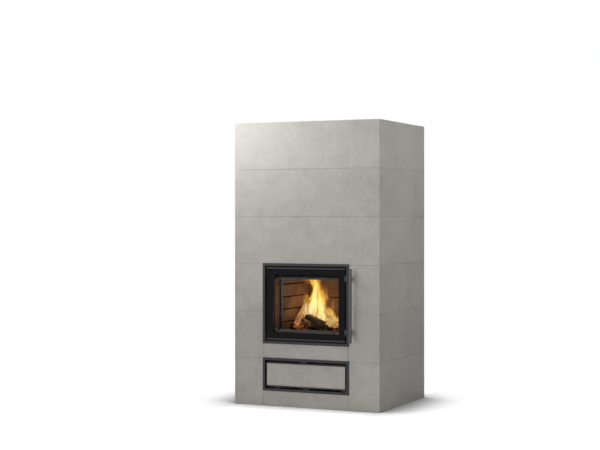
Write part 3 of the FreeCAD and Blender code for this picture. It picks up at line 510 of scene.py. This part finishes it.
for subpart in frame["record"]["subparts"]:
    name = subpart["node"]
    dress(nodes[name], NODE_LOOKS.get(name, SLOT_LOOKS[subpart["material_slot"]]))


# Mesh helpers

def link_piece(name, mesh, material, body, smooth=True):
    """Make a piece of a finished mesh and let it ride on a body."""
    mesh.polygons.foreach_set("use_smooth", [smooth] * len(mesh.polygons))
    mesh.materials.append(material)
    piece = bpy.data.objects.new(name, mesh)
    scene.collection.objects.link(piece)
    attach(piece, body)
    return piece


def add_piece(name, points, faces, material, body, smooth=True):
    mesh = bpy.data.meshes.new(name)
    mesh.from_pydata([tuple(p) for p in points], [], faces)
    mesh.validate()
    work = bmesh.new()
    work.from_mesh(mesh)
    bmesh.ops.recalc_face_normals(work, faces=work.faces)
    work.to_mesh(mesh)
    work.free()
    return link_piece(name, mesh, material, body, smooth)


def point_values(piece, **rows):
    """Store rows of numbers on a piece's points."""
    for name, values in rows.items():
        piece.data.attributes.new(name, "FLOAT", "POINT").data.foreach_set("value", values)


def grain_vectors(piece, values):
    """Store each point's place in the wood's own grain."""
    piece.data.attributes.new("grain", "FLOAT_VECTOR", "POINT").data.foreach_set("vector", values)


def bridge(faces, here, there, sides):
    """Quads between two closed rings of points."""
    for side in range(sides):
        beside = (side + 1) % sides
        faces.append((here + side, here + beside, there + beside, there + side))


def smooth_step(low, high, value):
    share = min(1.0, max(0.0, (value - low) / (high - low)))
    return share * share * (3 - 2 * share)


def turbulence(x, y, z):
    """Three octaves of noise, about -1 to 1."""
    spot = Vector((x, y, z))
    return noise.noise(spot) + 0.5 * noise.noise(spot * 2.1) + 0.25 * noise.noise(spot * 4.3)


# Seal ropes and screws

def direction(line, index, closed):
    """The way a line of points runs at one of them."""
    count = len(line)
    before = line[(index - 1) % count] if closed or index else line[index]
    after = line[(index + 1) % count] if closed or index < count - 1 else line[index]
    return (after - before).normalized()


def strand_tube(points, faces, path, radius, sides, closed):
    """One strand: a tube along a path, its rings kept square to the path."""
    first = len(points)
    count = len(path)
    for index, spot in enumerate(path):
        along = direction(path, index, closed)
        if abs(along.y) > 0.9:
            across = along.orthogonal().normalized()
        else:
            across = along.cross(Vector((0, 1, 0))).normalized()
        other = along.cross(across)
        for side in range(sides):
            turn = 2 * math.pi * side / sides
            points.append(spot + across * (radius * math.cos(turn)) + other * (radius * math.sin(turn)))
    for index in range(count if closed else count - 1):
        bridge(faces, first + index * sides, first + ((index + 1) % count) * sides, sides)
    if not closed:
        for ring in (0, count - 1):
            faces.append(tuple(first + ring * sides + side for side in range(sides)))


def twisted_rope(points, faces, line, radius, turns, strands, closed):
    """Strands laid round a centre line of evenly spaced points."""
    count = len(line)
    for strand in range(strands):
        path = []
        for index, spot in enumerate(line):
            other = Vector((0, 1, 0))
            across = direction(line, index, closed).cross(other).normalized()
            share = index / count if closed else index / (count - 1)
            turn = 2 * math.pi * (share * turns + strand / strands)
            path.append(spot + (across * math.cos(turn) + other * math.sin(turn)) * (radius * 0.5))
        strand_tube(points, faces, path, radius * 0.5, sides=8, closed=closed)


def rounded_rectangle(half, half_high, corner, step):
    """Points round a rectangle in X and Z, with round corners."""
    arcs = []
    for across, up, start in ((1, -1, -90), (1, 1, 0), (-1, 1, 90), (-1, -1, 180)):
        centre = Vector(((half - corner) * across, 0, (half_high - corner) * up))
        angles = [math.radians(start + 15 * part) for part in range(7)]
        arcs.append([centre + Vector((corner * math.cos(a), 0, corner * math.sin(a))) for a in angles])
    line = []
    for index, arc in enumerate(arcs):
        line.extend(arc)
        gap = arcs[(index + 1) % 4][0] - arc[-1]
        parts = max(2, round(gap.length / step))
        line.extend(arc[-1] + gap * (part / parts) for part in range(1, parts))
    return line


def make_leaf_rope():
    low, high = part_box("leaf_rope")
    radius = (high.y - low.y) / 2
    middle = (low + high) / 2
    half = (high.x - low.x) / 2 - radius
    half_high = (high.z - low.z) / 2 - radius
    line = [middle + spot for spot in rounded_rectangle(half, half_high, corner=0.007, step=0.0026)]
    points, faces = [], []
    twisted_rope(points, faces, line, radius * 0.98, turns=92, strands=3, closed=True)
    piece = add_piece("leaf_rope_twist", points, faces, YARN, "door")
    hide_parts("leaf_rope")


def make_mouth_rope():
    low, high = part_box("mouth_rope")
    radius = (high.y - low.y) / 2
    middle = (low.y + high.y) / 2
    steps = 120
    points, faces = [], []
    for x in (low.x + radius, high.x - radius):
        line = [Vector((x, middle, low.z + (high.z - low.z) * step / steps)) for step in range(steps + 1)]
        twisted_rope(points, faces, line, radius * 0.98, turns=17, strands=2, closed=False)
    piece = add_piece("mouth_rope_twist", points, faces, SMOKED_YARN, "heater")
    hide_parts("mouth_rope")


def make_glass_tape():
    """Flat woven tape between glass and casting, its edges rounded and its face ribbed."""
    low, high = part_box("glass_tape")
    middle = (low + high) / 2
    thick = (high.y - low.y) / 2
    half, half_high = (high.x - low.x) / 2, (high.z - low.z) / 2
    margin = 0.002
    wide = half - WINDOW_HALF - margin
    outer = rounded_rectangle(half - wide / 2, half_high - wide / 2, corner=wide / 2 + margin, step=0.004)
    count = len(outer)
    across = 9
    points, faces = [], []
    for index, spot in enumerate(outer):
        along = direction(outer, index, True)
        out = Vector((along.z, 0, -along.x))
        for face in (-1, 1):
            for column in range(across):
                share = 2 * column / (across - 1) - 1
                weave = 0.8 + 0.2 * math.cos(math.pi * (index + column))
                lift = thick * face * weave * math.sqrt(max(0.04, 1 - share ** 6))
                points.append(middle + spot + out * (share * wide / 2) + Vector((0, lift, 0)))
    ring = 2 * across
    for index in range(count):
        here, there = index * ring, ((index + 1) % count) * ring
        for face in (0, 1):
            for column in range(across - 1):
                a = here + face * across + column
                b = there + face * across + column
                faces.append((a, a + 1, b + 1, b))
        for column in (0, across - 1):
            faces.append((here + column, here + across + column, there + across + column, there + column))
    piece = add_piece("glass_tape_weave", points, faces, YARN, "door")
    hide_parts("glass_tape")


def make_jamb_screws():
    """Button-head screws with a hexagon socket."""
    low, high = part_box("jamb_screws")
    y = (low.y + high.y) / 2
    spread, shank, head, socket = 0.093, 0.0025, 0.005, 0.0019
    sides = 24
    turns = [2 * math.pi * part / sides for part in range(sides)]
    sixth = math.pi / 3
    hexagon = [socket / math.cos((turn + sixth / 2) % sixth - sixth / 2) for turn in turns]
    seat, top, floor = 0.0085, 0.011, 0.0088
    profile = ((0.0, shank), (seat, shank), (seat, head), (0.0096, head), (0.0105, 0.0043), (top, 0.0030))
    rings = [(reach, [size] * sides) for reach, size in profile] + [(top, hexagon), (floor, hexagon)]
    points, faces = [], []
    for side in (-1, 1):
        tail = low.x if side < 0 else high.x
        for level in (DOOR_Z - spread, DOOR_Z + spread):
            first = len(points)
            for reach, sizes in rings:
                x = tail - side * reach
                for turn, size in zip(turns, sizes):
                    points.append((x, y + size * math.cos(turn), level + size * math.sin(turn)))
            last = first + (len(rings) - 1) * sides
            for ring in range(first, last, sides):
                bridge(faces, ring, ring + sides, sides)
            for ring in (first, last):
                faces.append(tuple(range(ring, ring + sides)))
    piece = add_piece("jamb_screw_set", points, faces, SCREW_STEEL, "heater", smooth=False)
    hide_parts("jamb_screws")


make_leaf_rope()
make_mouth_rope()
make_glass_tape()
make_jamb_screws()


# The fire: logs, embers and flames standing on the grate

def make_log(name, material, start, end, flats, thick, seed, burn, ash, ember, taper=0.1, foot=0.0):
    """A split billet with bark ridges, a slight bend and rough ends.

    Each flat is the angle and the offset of a split face. Foot burns the log darker near its start.
    """
    start, end = Vector(start), Vector(end)
    length = (end - start).length
    along = (end - start).normalized()
    across = along.cross(Vector((0, 0, 1))).normalized()
    other = across.cross(along)
    rings, sides = 52, 44
    points, faces, burnt, dust, glow, grain = [], [], [], [], [], []

    def add_point(spot, share, spoke, values):
        points.append(spot)
        grain.extend((share * length, spoke.dot(across) + 0.13 * seed, spoke.dot(other)))
        for row, value in zip((burnt, dust, glow), values):
            row.append(value)

    for ring in range(rings + 1):
        share = ring / rings
        bend = 0.12 * thick * math.sin(math.pi * share) * (1 if seed % 2 else -1)
        centre = start.lerp(end, share) + across * bend
        slim = 1 - taper * share
        rounding = 0.78 + 0.22 * smooth_step(0.0, 0.07, min(share, 1 - share))
        for side in range(sides):
            turn = 2 * math.pi * side / sides
            reach = thick * slim * rounding
            reach *= 1 + 0.10 * turbulence(math.cos(turn) * 1.6 + seed, math.sin(turn) * 1.6, share * 3.0)
            reach *= 1 + 0.045 * turbulence(math.cos(turn) * 6.0, math.sin(turn) * 6.0 + seed, share * 4.0)
            for angle, offset in flats:
                facing = math.cos(turn - angle)
                if facing > 0.05:
                    rough = 1 + 0.07 * turbulence(share * 5.0, turn * 4.0, seed)
                    reach = min(reach, thick * offset / facing * rough)
            spoke = (across * math.cos(turn) + other * math.sin(turn)) * reach
            upward = spoke.normalized().z
            char = burn + 0.3 * turbulence(share * 4.0, turn, seed + 3.0)
            char += 0.35 * smooth_step(0.1, -0.7, upward) + foot * smooth_step(0.65, 0.15, share)
            add_point(centre + spoke, share, spoke, (
                min(1.0, char), ash * smooth_step(0.0, 0.8, upward), ember * smooth_step(0.2, -0.8, upward)))
    for ring in range(rings):
        bridge(faces, ring * sides, (ring + 1) * sides, sides)
    for ring, push in ((0, -1), (rings, 1)):
        loop = ring * sides
        centre = sum(points[loop:loop + sides], Vector()) / sides
        spokes = [spot - centre for spot in points[loop:loop + sides]]
        for inset in (0.72, 0.36):
            inner = len(points)
            for spoke in spokes:
                lift = push * 0.10 * thick * (1 - inset) + 0.04 * thick * turbulence(*(spoke * 90))
                add_point(centre + spoke * inset + along * lift, ring / rings, spoke * inset, (
                    min(1.0, burn + 0.15), ash * 0.2, ember * 0.3))
            bridge(faces, loop, inner, sides)
            loop = inner
        middle = len(points)
        add_point(centre + along * (push * 0.10 * thick), ring / rings, Vector(), (1.0, 0.1, ember * 0.3))
        faces.extend((loop + side, loop + (side + 1) % sides, middle) for side in range(sides))
    piece = add_piece(name, points, faces, material, "heater")
    point_values(piece, burnt=burnt, ash=dust, ember=glow)
    grain_vectors(piece, grain)


def make_embers(name, lumps, material, seed):
    """Broken charcoal in one mesh: each lump a knobbly stone, given by place, size and heat."""
    work = bmesh.new()
    burnt, dust, glow, grain = [], [], [], []
    for number, (x, y, z, size, heat) in enumerate(lumps):
        tilt = Matrix.Rotation(number * 2.1 + seed, 3, "Z") @ Matrix.Rotation(number * 1.3, 3, "X")
        for vertex in bmesh.ops.create_icosphere(work, subdivisions=3, radius=1.0)["verts"]:
            way = vertex.co.normalized()
            knob = 1 + 0.28 * turbulence(*(way * 1.4 + Vector((number * 3.7, seed, 0))))
            stretch = Vector((way.x * 1.35, way.y, way.z * 0.8))
            vertex.co = Vector((x, y, z)) + tilt @ (stretch * (size * knob))
            grain.extend(vertex.co + Vector((0.31 * number, 0, 0)))
            upward = (tilt @ way).z
            burnt.append(1.0)
            dust.append(0.35 * smooth_step(0.0, 0.8, upward))
            glow.append(heat * smooth_step(0.6, -0.5, upward + 0.5 * turbulence(*(way * 2.5))))
    mesh = bpy.data.meshes.new(name)
    work.to_mesh(mesh)
    work.free()
    piece = link_piece(name, mesh, material, "heater")
    point_values(piece, burnt=burnt, ash=dust, ember=glow)
    grain_vectors(piece, grain)


def make_flame(name, y, spine, facing, seed, strength, hot, veil, thick=0.16, ragged=0.32, soft=0.8,
               streaks=1.0, lee=1.0, pale=0.0):
    """A tongue of flame: one curved sheet that fades out towards its edges.

    The spine's rows are x, z and half width, from base to tip. Lee softens the right side, and pale
    keeps the root's colours further up.
    """
    rows, columns = 72, 32
    face_way = math.radians(facing)
    across = Vector((math.cos(face_way), math.sin(face_way), 0))
    toward = Vector((math.sin(face_way), -math.cos(face_way), 0))
    points, faces, warmth, fade, root = [], [], [], [], []
    for row in range(rows + 1):
        rise = row / rows
        spot = rise * (len(spine) - 1)
        index = min(int(spot), len(spine) - 2)
        part = spot - index
        x, z, half = (a + (b - a) * part for a, b in zip(spine[index], spine[index + 1]))
        half *= 1 + 0.14 * turbulence(seed + 7.0, rise * 5.0, 0.5)
        sway = 0.16 * half * turbulence(seed, rise * 4.0, 0.5)
        ends = smooth_step(0.0, 0.16, rise) * smooth_step(1.0, 0.70, rise)
        for column in range(columns + 1):
            share = 2 * column / columns - 1
            section = math.sqrt(max(0.0, 1 - share * share)) * math.sin(math.pi * (0.06 + 0.9 * rise))
            aside, bulge = across * (share * half + sway), toward * (thick * half * section)
            points.append(Vector((x, y, z)) + aside + bulge)
            edge = 1 - abs(share) + ragged * (turbulence(share * 2.2 + seed, rise * 4.0, seed) - 0.15)
            blur = lee if share > 0 else 1.0
            fade.append(smooth_step(0.0, soft * blur, edge) * ends)
            glow = smooth_step(-0.05, 0.75 * blur, edge) * (0.50 + 0.50 * smooth_step(0.02, 0.38, rise))
            warmth.append(hot * glow * (1 - 0.7 * rise ** 2.6))
            root.append(max(pale, smooth_step(0.45, 0.10, rise)))
    for row in range(rows):
        for column in range(columns):
            a = row * (columns + 1) + column
            b = a + columns + 1
            faces.append((a, a + 1, b + 1, b))
    piece = add_piece(name, points, faces, flame_gas(name + "_gas", strength, veil, streaks), "heater")
    point_values(piece, warmth=warmth, fade=fade, root=root)
    piece.visible_diffuse = False
    piece.visible_shadow = False
    piece.visible_glossy = False


def make_wisp(name, y, spine, facing, seed, strength, hot, veil, thick=0.3):
    """A thin flame without a firm edge."""
    make_flame(name, y, spine, facing, seed, strength, hot, veil, thick, ragged=0.18, soft=1.6, streaks=0.35)


# Each lit colour is painted firelight that the log glows with.
CHAR = charred_wood("charred_log", (0.10, 0.07, 0.045), (0.03, 0.022, 0.016), lit=(0.75, 0.58, 0.36))
SPLIT = charred_wood("burning_split_log", (0.84, 0.58, 0.33), (0.20, 0.105, 0.052), lit=(0.74, 0.51, 0.31))
GLOWING = charred_wood("glowing_log", (0.44, 0.21, 0.085), (0.12, 0.052, 0.026), lit=(0.58, 0.36, 0.20))
EMBER_LOG = charred_wood("ember_log", (0.70, 0.42, 0.20), (0.17, 0.075, 0.032), lit=(0.62, 0.40, 0.20))
COALS = charred_wood("charcoal", (0.03, 0.026, 0.022), (0.015, 0.013, 0.012), glow=1.5)

make_log("log_front", CHAR, (-0.112, -0.090, 0.464), (0.024, -0.096, 0.402), [(2.2, 0.84)],
         thick=0.0142, seed=1, burn=1.0, ash=0.12, ember=0.0, taper=0.15)
make_log("log_middle", CHAR, (-0.138, -0.057, 0.470), (0.004, -0.062, 0.414), [(2.0, 0.8)],
         thick=0.0195, seed=3, burn=0.9, ash=1.0, ember=0.0)
make_log("log_left", SPLIT, (-0.186, -0.056, 0.407), (-0.138, -0.014, 0.522), [(1.3, 0.7), (3.6, 0.75)],
         thick=0.0240, seed=4, burn=0.24, ash=0.2, ember=0.1, foot=0.22)
make_log("log_low", GLOWING, (-0.190, -0.101, 0.400), (-0.085, -0.070, 0.405), [(1.57, 0.7)],
         thick=0.0135, seed=7, burn=0.30, ash=0.1, ember=0.4)
make_log("log_right", EMBER_LOG, (0.098, -0.066, 0.402), (-0.050, 0.015, 0.452), [(1.2, 0.66), (4.2, 0.75)],
         thick=0.0260, seed=10, burn=0.26, ash=0.2, ember=0.9)
make_log("log_under", GLOWING, (-0.098, -0.116, 0.411), (-0.082, 0.010, 0.412), [(1.5, 0.8)],
         thick=0.0205, seed=12, burn=0.60, ash=0.3, ember=0.3)
make_log("log_back", CHAR, (-0.130, 0.040, 0.413), (0.120, 0.046, 0.416), [(1.5, 0.6)],
         thick=0.0245, seed=13, burn=0.9, ash=0.4, ember=0.3)

coals = []
COAL_COUNT = 40
for number in range(COAL_COUNT):
    turn = number * GOLDEN_ANGLE
    reach = math.sqrt((number + 0.5) / COAL_COUNT)
    size = 0.0055 + 0.0055 * abs(math.sin(number * 5.31))
    x = -0.045 + 0.120 * reach * math.cos(turn)
    y = -0.032 + 0.070 * reach * math.sin(turn)
    heat = 0.75 * max(0.0, math.sin(number * 7.77)) * (1.0 - 0.5 * reach)
    coals.append((x, y, HEARTH_Z + size * 0.75, size, heat))
make_embers("ember_bed", coals, COALS, seed=1.0)
make_embers("stray_charcoal", [
    (-0.188, -0.106, HEARTH_Z + 0.010, 0.0125, 0.0),
    (-0.190, -0.103, HEARTH_Z + 0.024, 0.0105, 0.0),
    (-0.168, -0.126, HEARTH_Z + 0.006, 0.008, 0.0),
    (-0.118, -0.128, HEARTH_Z + 0.006, 0.008, 1.5),
    (-0.098, -0.132, HEARTH_Z + 0.005, 0.007, 1.3),
    (0.070, -0.092, HEARTH_Z + 0.008, 0.011, 0.9),
    (0.128, -0.020, HEARTH_Z + 0.007, 0.010, 0.1),
], COALS, seed=5.0)

make_flame("flame_body", 0.004, [
    (-0.098, 0.400, 0.096), (-0.096, 0.440, 0.094), (-0.090, 0.470, 0.086), (-0.080, 0.505, 0.078),
    (-0.076, 0.540, 0.074), (-0.074, 0.570, 0.064), (-0.074, 0.600, 0.052), (-0.078, 0.625, 0.049),
    (-0.092, 0.650, 0.056), (-0.108, 0.675, 0.066), (-0.124, 0.705, 0.066), (-0.140, 0.745, 0.052),
    (-0.150, 0.790, 0.022),
], facing=22, seed=1.0, strength=1.0, hot=0.66, veil=0.95,
    thick=0.12, ragged=0.30, soft=0.7, streaks=0.8, lee=1.6)
make_flame("flame_left", -0.022, [
    (-0.108, 0.435, 0.048), (-0.109, 0.475, 0.050), (-0.105, 0.505, 0.048), (-0.097, 0.535, 0.044),
    (-0.088, 0.565, 0.040), (-0.081, 0.595, 0.034), (-0.079, 0.622, 0.028), (-0.086, 0.650, 0.025),
    (-0.100, 0.682, 0.024), (-0.114, 0.725, 0.014),
], facing=26, seed=2.0, strength=1.05, hot=1.04, veil=0.95,
    ragged=0.28, soft=0.7, streaks=0.8, lee=1.25)
make_flame("flame_right", -0.040, [
    (-0.012, 0.412, 0.068), (-0.021, 0.455, 0.066), (-0.028, 0.490, 0.056), (-0.035, 0.525, 0.044),
    (-0.043, 0.560, 0.032), (-0.052, 0.590, 0.023), (-0.060, 0.615, 0.016), (-0.068, 0.645, 0.009),
], facing=24, seed=3.0, strength=1.05, hot=0.96, veil=0.92, streaks=0.9, lee=1.5)
make_flame("flame_low_right", -0.062, [
    (0.040, 0.400, 0.060), (0.034, 0.430, 0.062), (0.026, 0.458, 0.060), (0.014, 0.490, 0.050),
    (0.000, 0.535, 0.026),
], facing=26, seed=5.0, strength=0.92, hot=0.55, veil=0.85, pale=0.30)
make_flame("flame_log_left", -0.076, [
    (-0.122, 0.446, 0.018), (-0.121, 0.466, 0.026), (-0.119, 0.490, 0.028), (-0.115, 0.514, 0.024),
    (-0.110, 0.548, 0.010),
], facing=26, seed=11.0, strength=0.95, hot=0.66, veil=0.75,
    thick=0.2, ragged=0.40, soft=0.9, pale=1.0)
make_flame("flame_log_right", -0.098, [
    (0.060, 0.404, 0.030), (0.052, 0.424, 0.042), (0.042, 0.446, 0.040), (0.032, 0.466, 0.030),
    (0.020, 0.488, 0.012),
], facing=26, seed=12.0, strength=0.56, hot=0.46, veil=0.6,
    thick=0.2, ragged=0.45, soft=1.1, pale=0.8)
make_wisp("wisp_left", -0.004, [
    (-0.140, 0.502, 0.046), (-0.142, 0.528, 0.052), (-0.147, 0.558, 0.042), (-0.155, 0.612, 0.016),
], facing=18, seed=6.0, strength=0.84, hot=0.40, veil=0.58)
make_wisp("wisp_right", -0.018, [
    (-0.022, 0.548, 0.018), (-0.021, 0.572, 0.020), (-0.022, 0.600, 0.016), (-0.025, 0.645, 0.008),
], facing=22, seed=7.0, strength=0.60, hot=0.34, veil=0.5)
make_wisp("wisp_far_right", -0.004, [
    (0.010, 0.474, 0.019), (0.010, 0.499, 0.020), (0.011, 0.524, 0.016), (0.014, 0.562, 0.008),
], facing=26, seed=8.0, strength=0.60, hot=0.36, veil=0.55)
make_wisp("wisp_top", 0.004, [
    (-0.130, 0.625, 0.040), (-0.148, 0.655, 0.058), (-0.164, 0.685, 0.064), (-0.176, 0.730, 0.046),
], facing=16, seed=9.0, strength=0.55, hot=0.26, veil=0.5, thick=0.2)


# Floor, light and camera

def make_floor(reach=40.0):
    """Pale paper with painted shade close to the object: a faint painted contact shadow in front of it and a
    darker one at its sides, shown to camera rays only.
    """
    s = Shade("studio_floor", 0.8, specular=0.1)
    paper = s.ramp(s.noise(0.6, 2.0), (0.3, (0.512, 0.512, 0.512)), (0.7, (0.522, 0.522, 0.522)))
    # Painted contact shadow: two ambient-occlusion nodes darken the paper near the object.
    near = s.add("ShaderNodeAmbientOcclusion", samples=8)
    near.inputs["Distance"].default_value = 0.24
    wide = s.add("ShaderNodeAmbientOcclusion", samples=8)
    wide.inputs["Distance"].default_value = 0.40
    # Painted shade: grey in front of the object, a darker grey beside it.
    front_shade = s.mix(s.span(near.outputs["AO"], 0.40, 0.95), (0.345, 0.345, 0.345), paper)
    aside = s.mix(s.span(wide.outputs["AO"], 0.45, 1.0), (0.150, 0.150, 0.150), paper)
    # Where the darker painted side shade takes over: past the object's sides.
    side_shade_mask = s.span(s.minus(s.size(s.axis("X")), HALF_WIDTH), -0.06, 0.01)
    # The painted shade is shown to the camera; other rays see the plain paper.
    seen = s.add("ShaderNodeLightPath").outputs["Is Camera Ray"]
    s.set("Base Color", s.mix(seen, paper, s.mix(side_shade_mask, front_shade, aside)))
    mesh = bpy.data.meshes.new("studio_floor")
    corners = [(-reach, -reach, 0), (reach, -reach, 0), (reach, reach, 0), (-reach, reach, 0)]
    mesh.from_pydata(corners, [], [(0, 1, 2, 3)])
    mesh.materials.append(s.material)
    floor = bpy.data.objects.new("studio_floor", mesh)
    floor.location.z = -0.0005
    floor.visible_glossy = False
    scene.collection.objects.link(floor)


def make_world(seen, lit):
    """White to the camera and dimmer as a light."""
    world = bpy.data.worlds.new("studio")
    world.use_nodes = True
    tree = world.node_tree
    ground = tree.nodes["Background"]
    ray = tree.nodes.new("ShaderNodeLightPath")
    level = tree.nodes.new("ShaderNodeMapRange")
    tree.links.new(ray.outputs["Is Camera Ray"], level.inputs["Value"])
    level.inputs["To Min"].default_value = lit
    level.inputs["To Max"].default_value = seen
    ground.inputs["Color"].default_value = (1.0, 1.0, 1.0, 1.0)
    tree.links.new(level.outputs[0], ground.inputs["Strength"])
    scene.world = world


def hang_lamp(name, data, place):
    lamp = bpy.data.objects.new(name, data)
    lamp.location = place
    lamp.visible_camera = False
    scene.collection.objects.link(lamp)
    return lamp


def point_at(lamp, way):
    lamp.rotation_euler = Vector(way).to_track_quat("-Z", "Y").to_euler()


def area_light(name, place, aim, width, height, watts):
    data = bpy.data.lights.new(name, "AREA")
    data.shape = "RECTANGLE"
    data.size, data.size_y = width, height
    data.energy = watts
    point_at(hang_lamp(name, data, place), Vector(aim) - Vector(place))


def sky_light(name, way, spread, strength, shiny=True):
    """A wide soft lamp that lights the floor alike everywhere."""
    data = bpy.data.lights.new(name, "SUN")
    data.angle = math.radians(spread)
    data.energy = strength
    lamp = hang_lamp(name, data, (0, 0, 4))
    lamp.visible_glossy = shiny
    point_at(lamp, way)


def fire_light(name, place, size, watts, colour):
    data = bpy.data.lights.new(name, "POINT")
    data.energy = watts
    data.shadow_soft_size = size
    data.color = colour
    hang_lamp(name, data, place).visible_glossy = False


def make_camera():
    data = bpy.data.cameras.new("camera")
    data.lens = 80.547
    data.sensor_width = 36.0
    data.shift_y = -0.01145
    camera = bpy.data.objects.new("camera", data)
    camera.location = (2.9989, -6.7472, 1.00066)
    camera.rotation_euler = (math.radians(90), 0, math.radians(25.298))
    scene.collection.objects.link(camera)
    scene.camera = camera


make_floor()
make_world(seen=1.0, lit=0.11)
sky_light("overhead_sky", (0.0, 0.01, -1.0), spread=15, strength=5.85)
sky_light("front_sky", (0.22, 1.0, -0.16), spread=60, strength=0.50)
sky_light("key_sky", (0.45, 1.0, -0.22), spread=26, strength=0.84, shiny=False)
area_light("left_softbox", (-1.203, FRONT_Y - 0.712, 1.683), (-0.594, FRONT_Y, 2.30),
           width=1.5, height=0.81, watts=39.5)
area_light("right_softbox", (1.983, 0.069, 1.688), (0.42, -0.408, 2.46),
           width=1.07, height=1.31, watts=18)
fire_light("fire_glow", (-0.07, -0.02, 0.53), size=0.05, watts=0.30, colour=(1.0, 0.52, 0.20))
fire_light("base_glow", (-0.03, -0.04, 0.47), size=0.03, watts=0.085, colour=(1.0, 0.50, 0.18))
make_camera()
scene.view_settings.view_transform = "Standard"
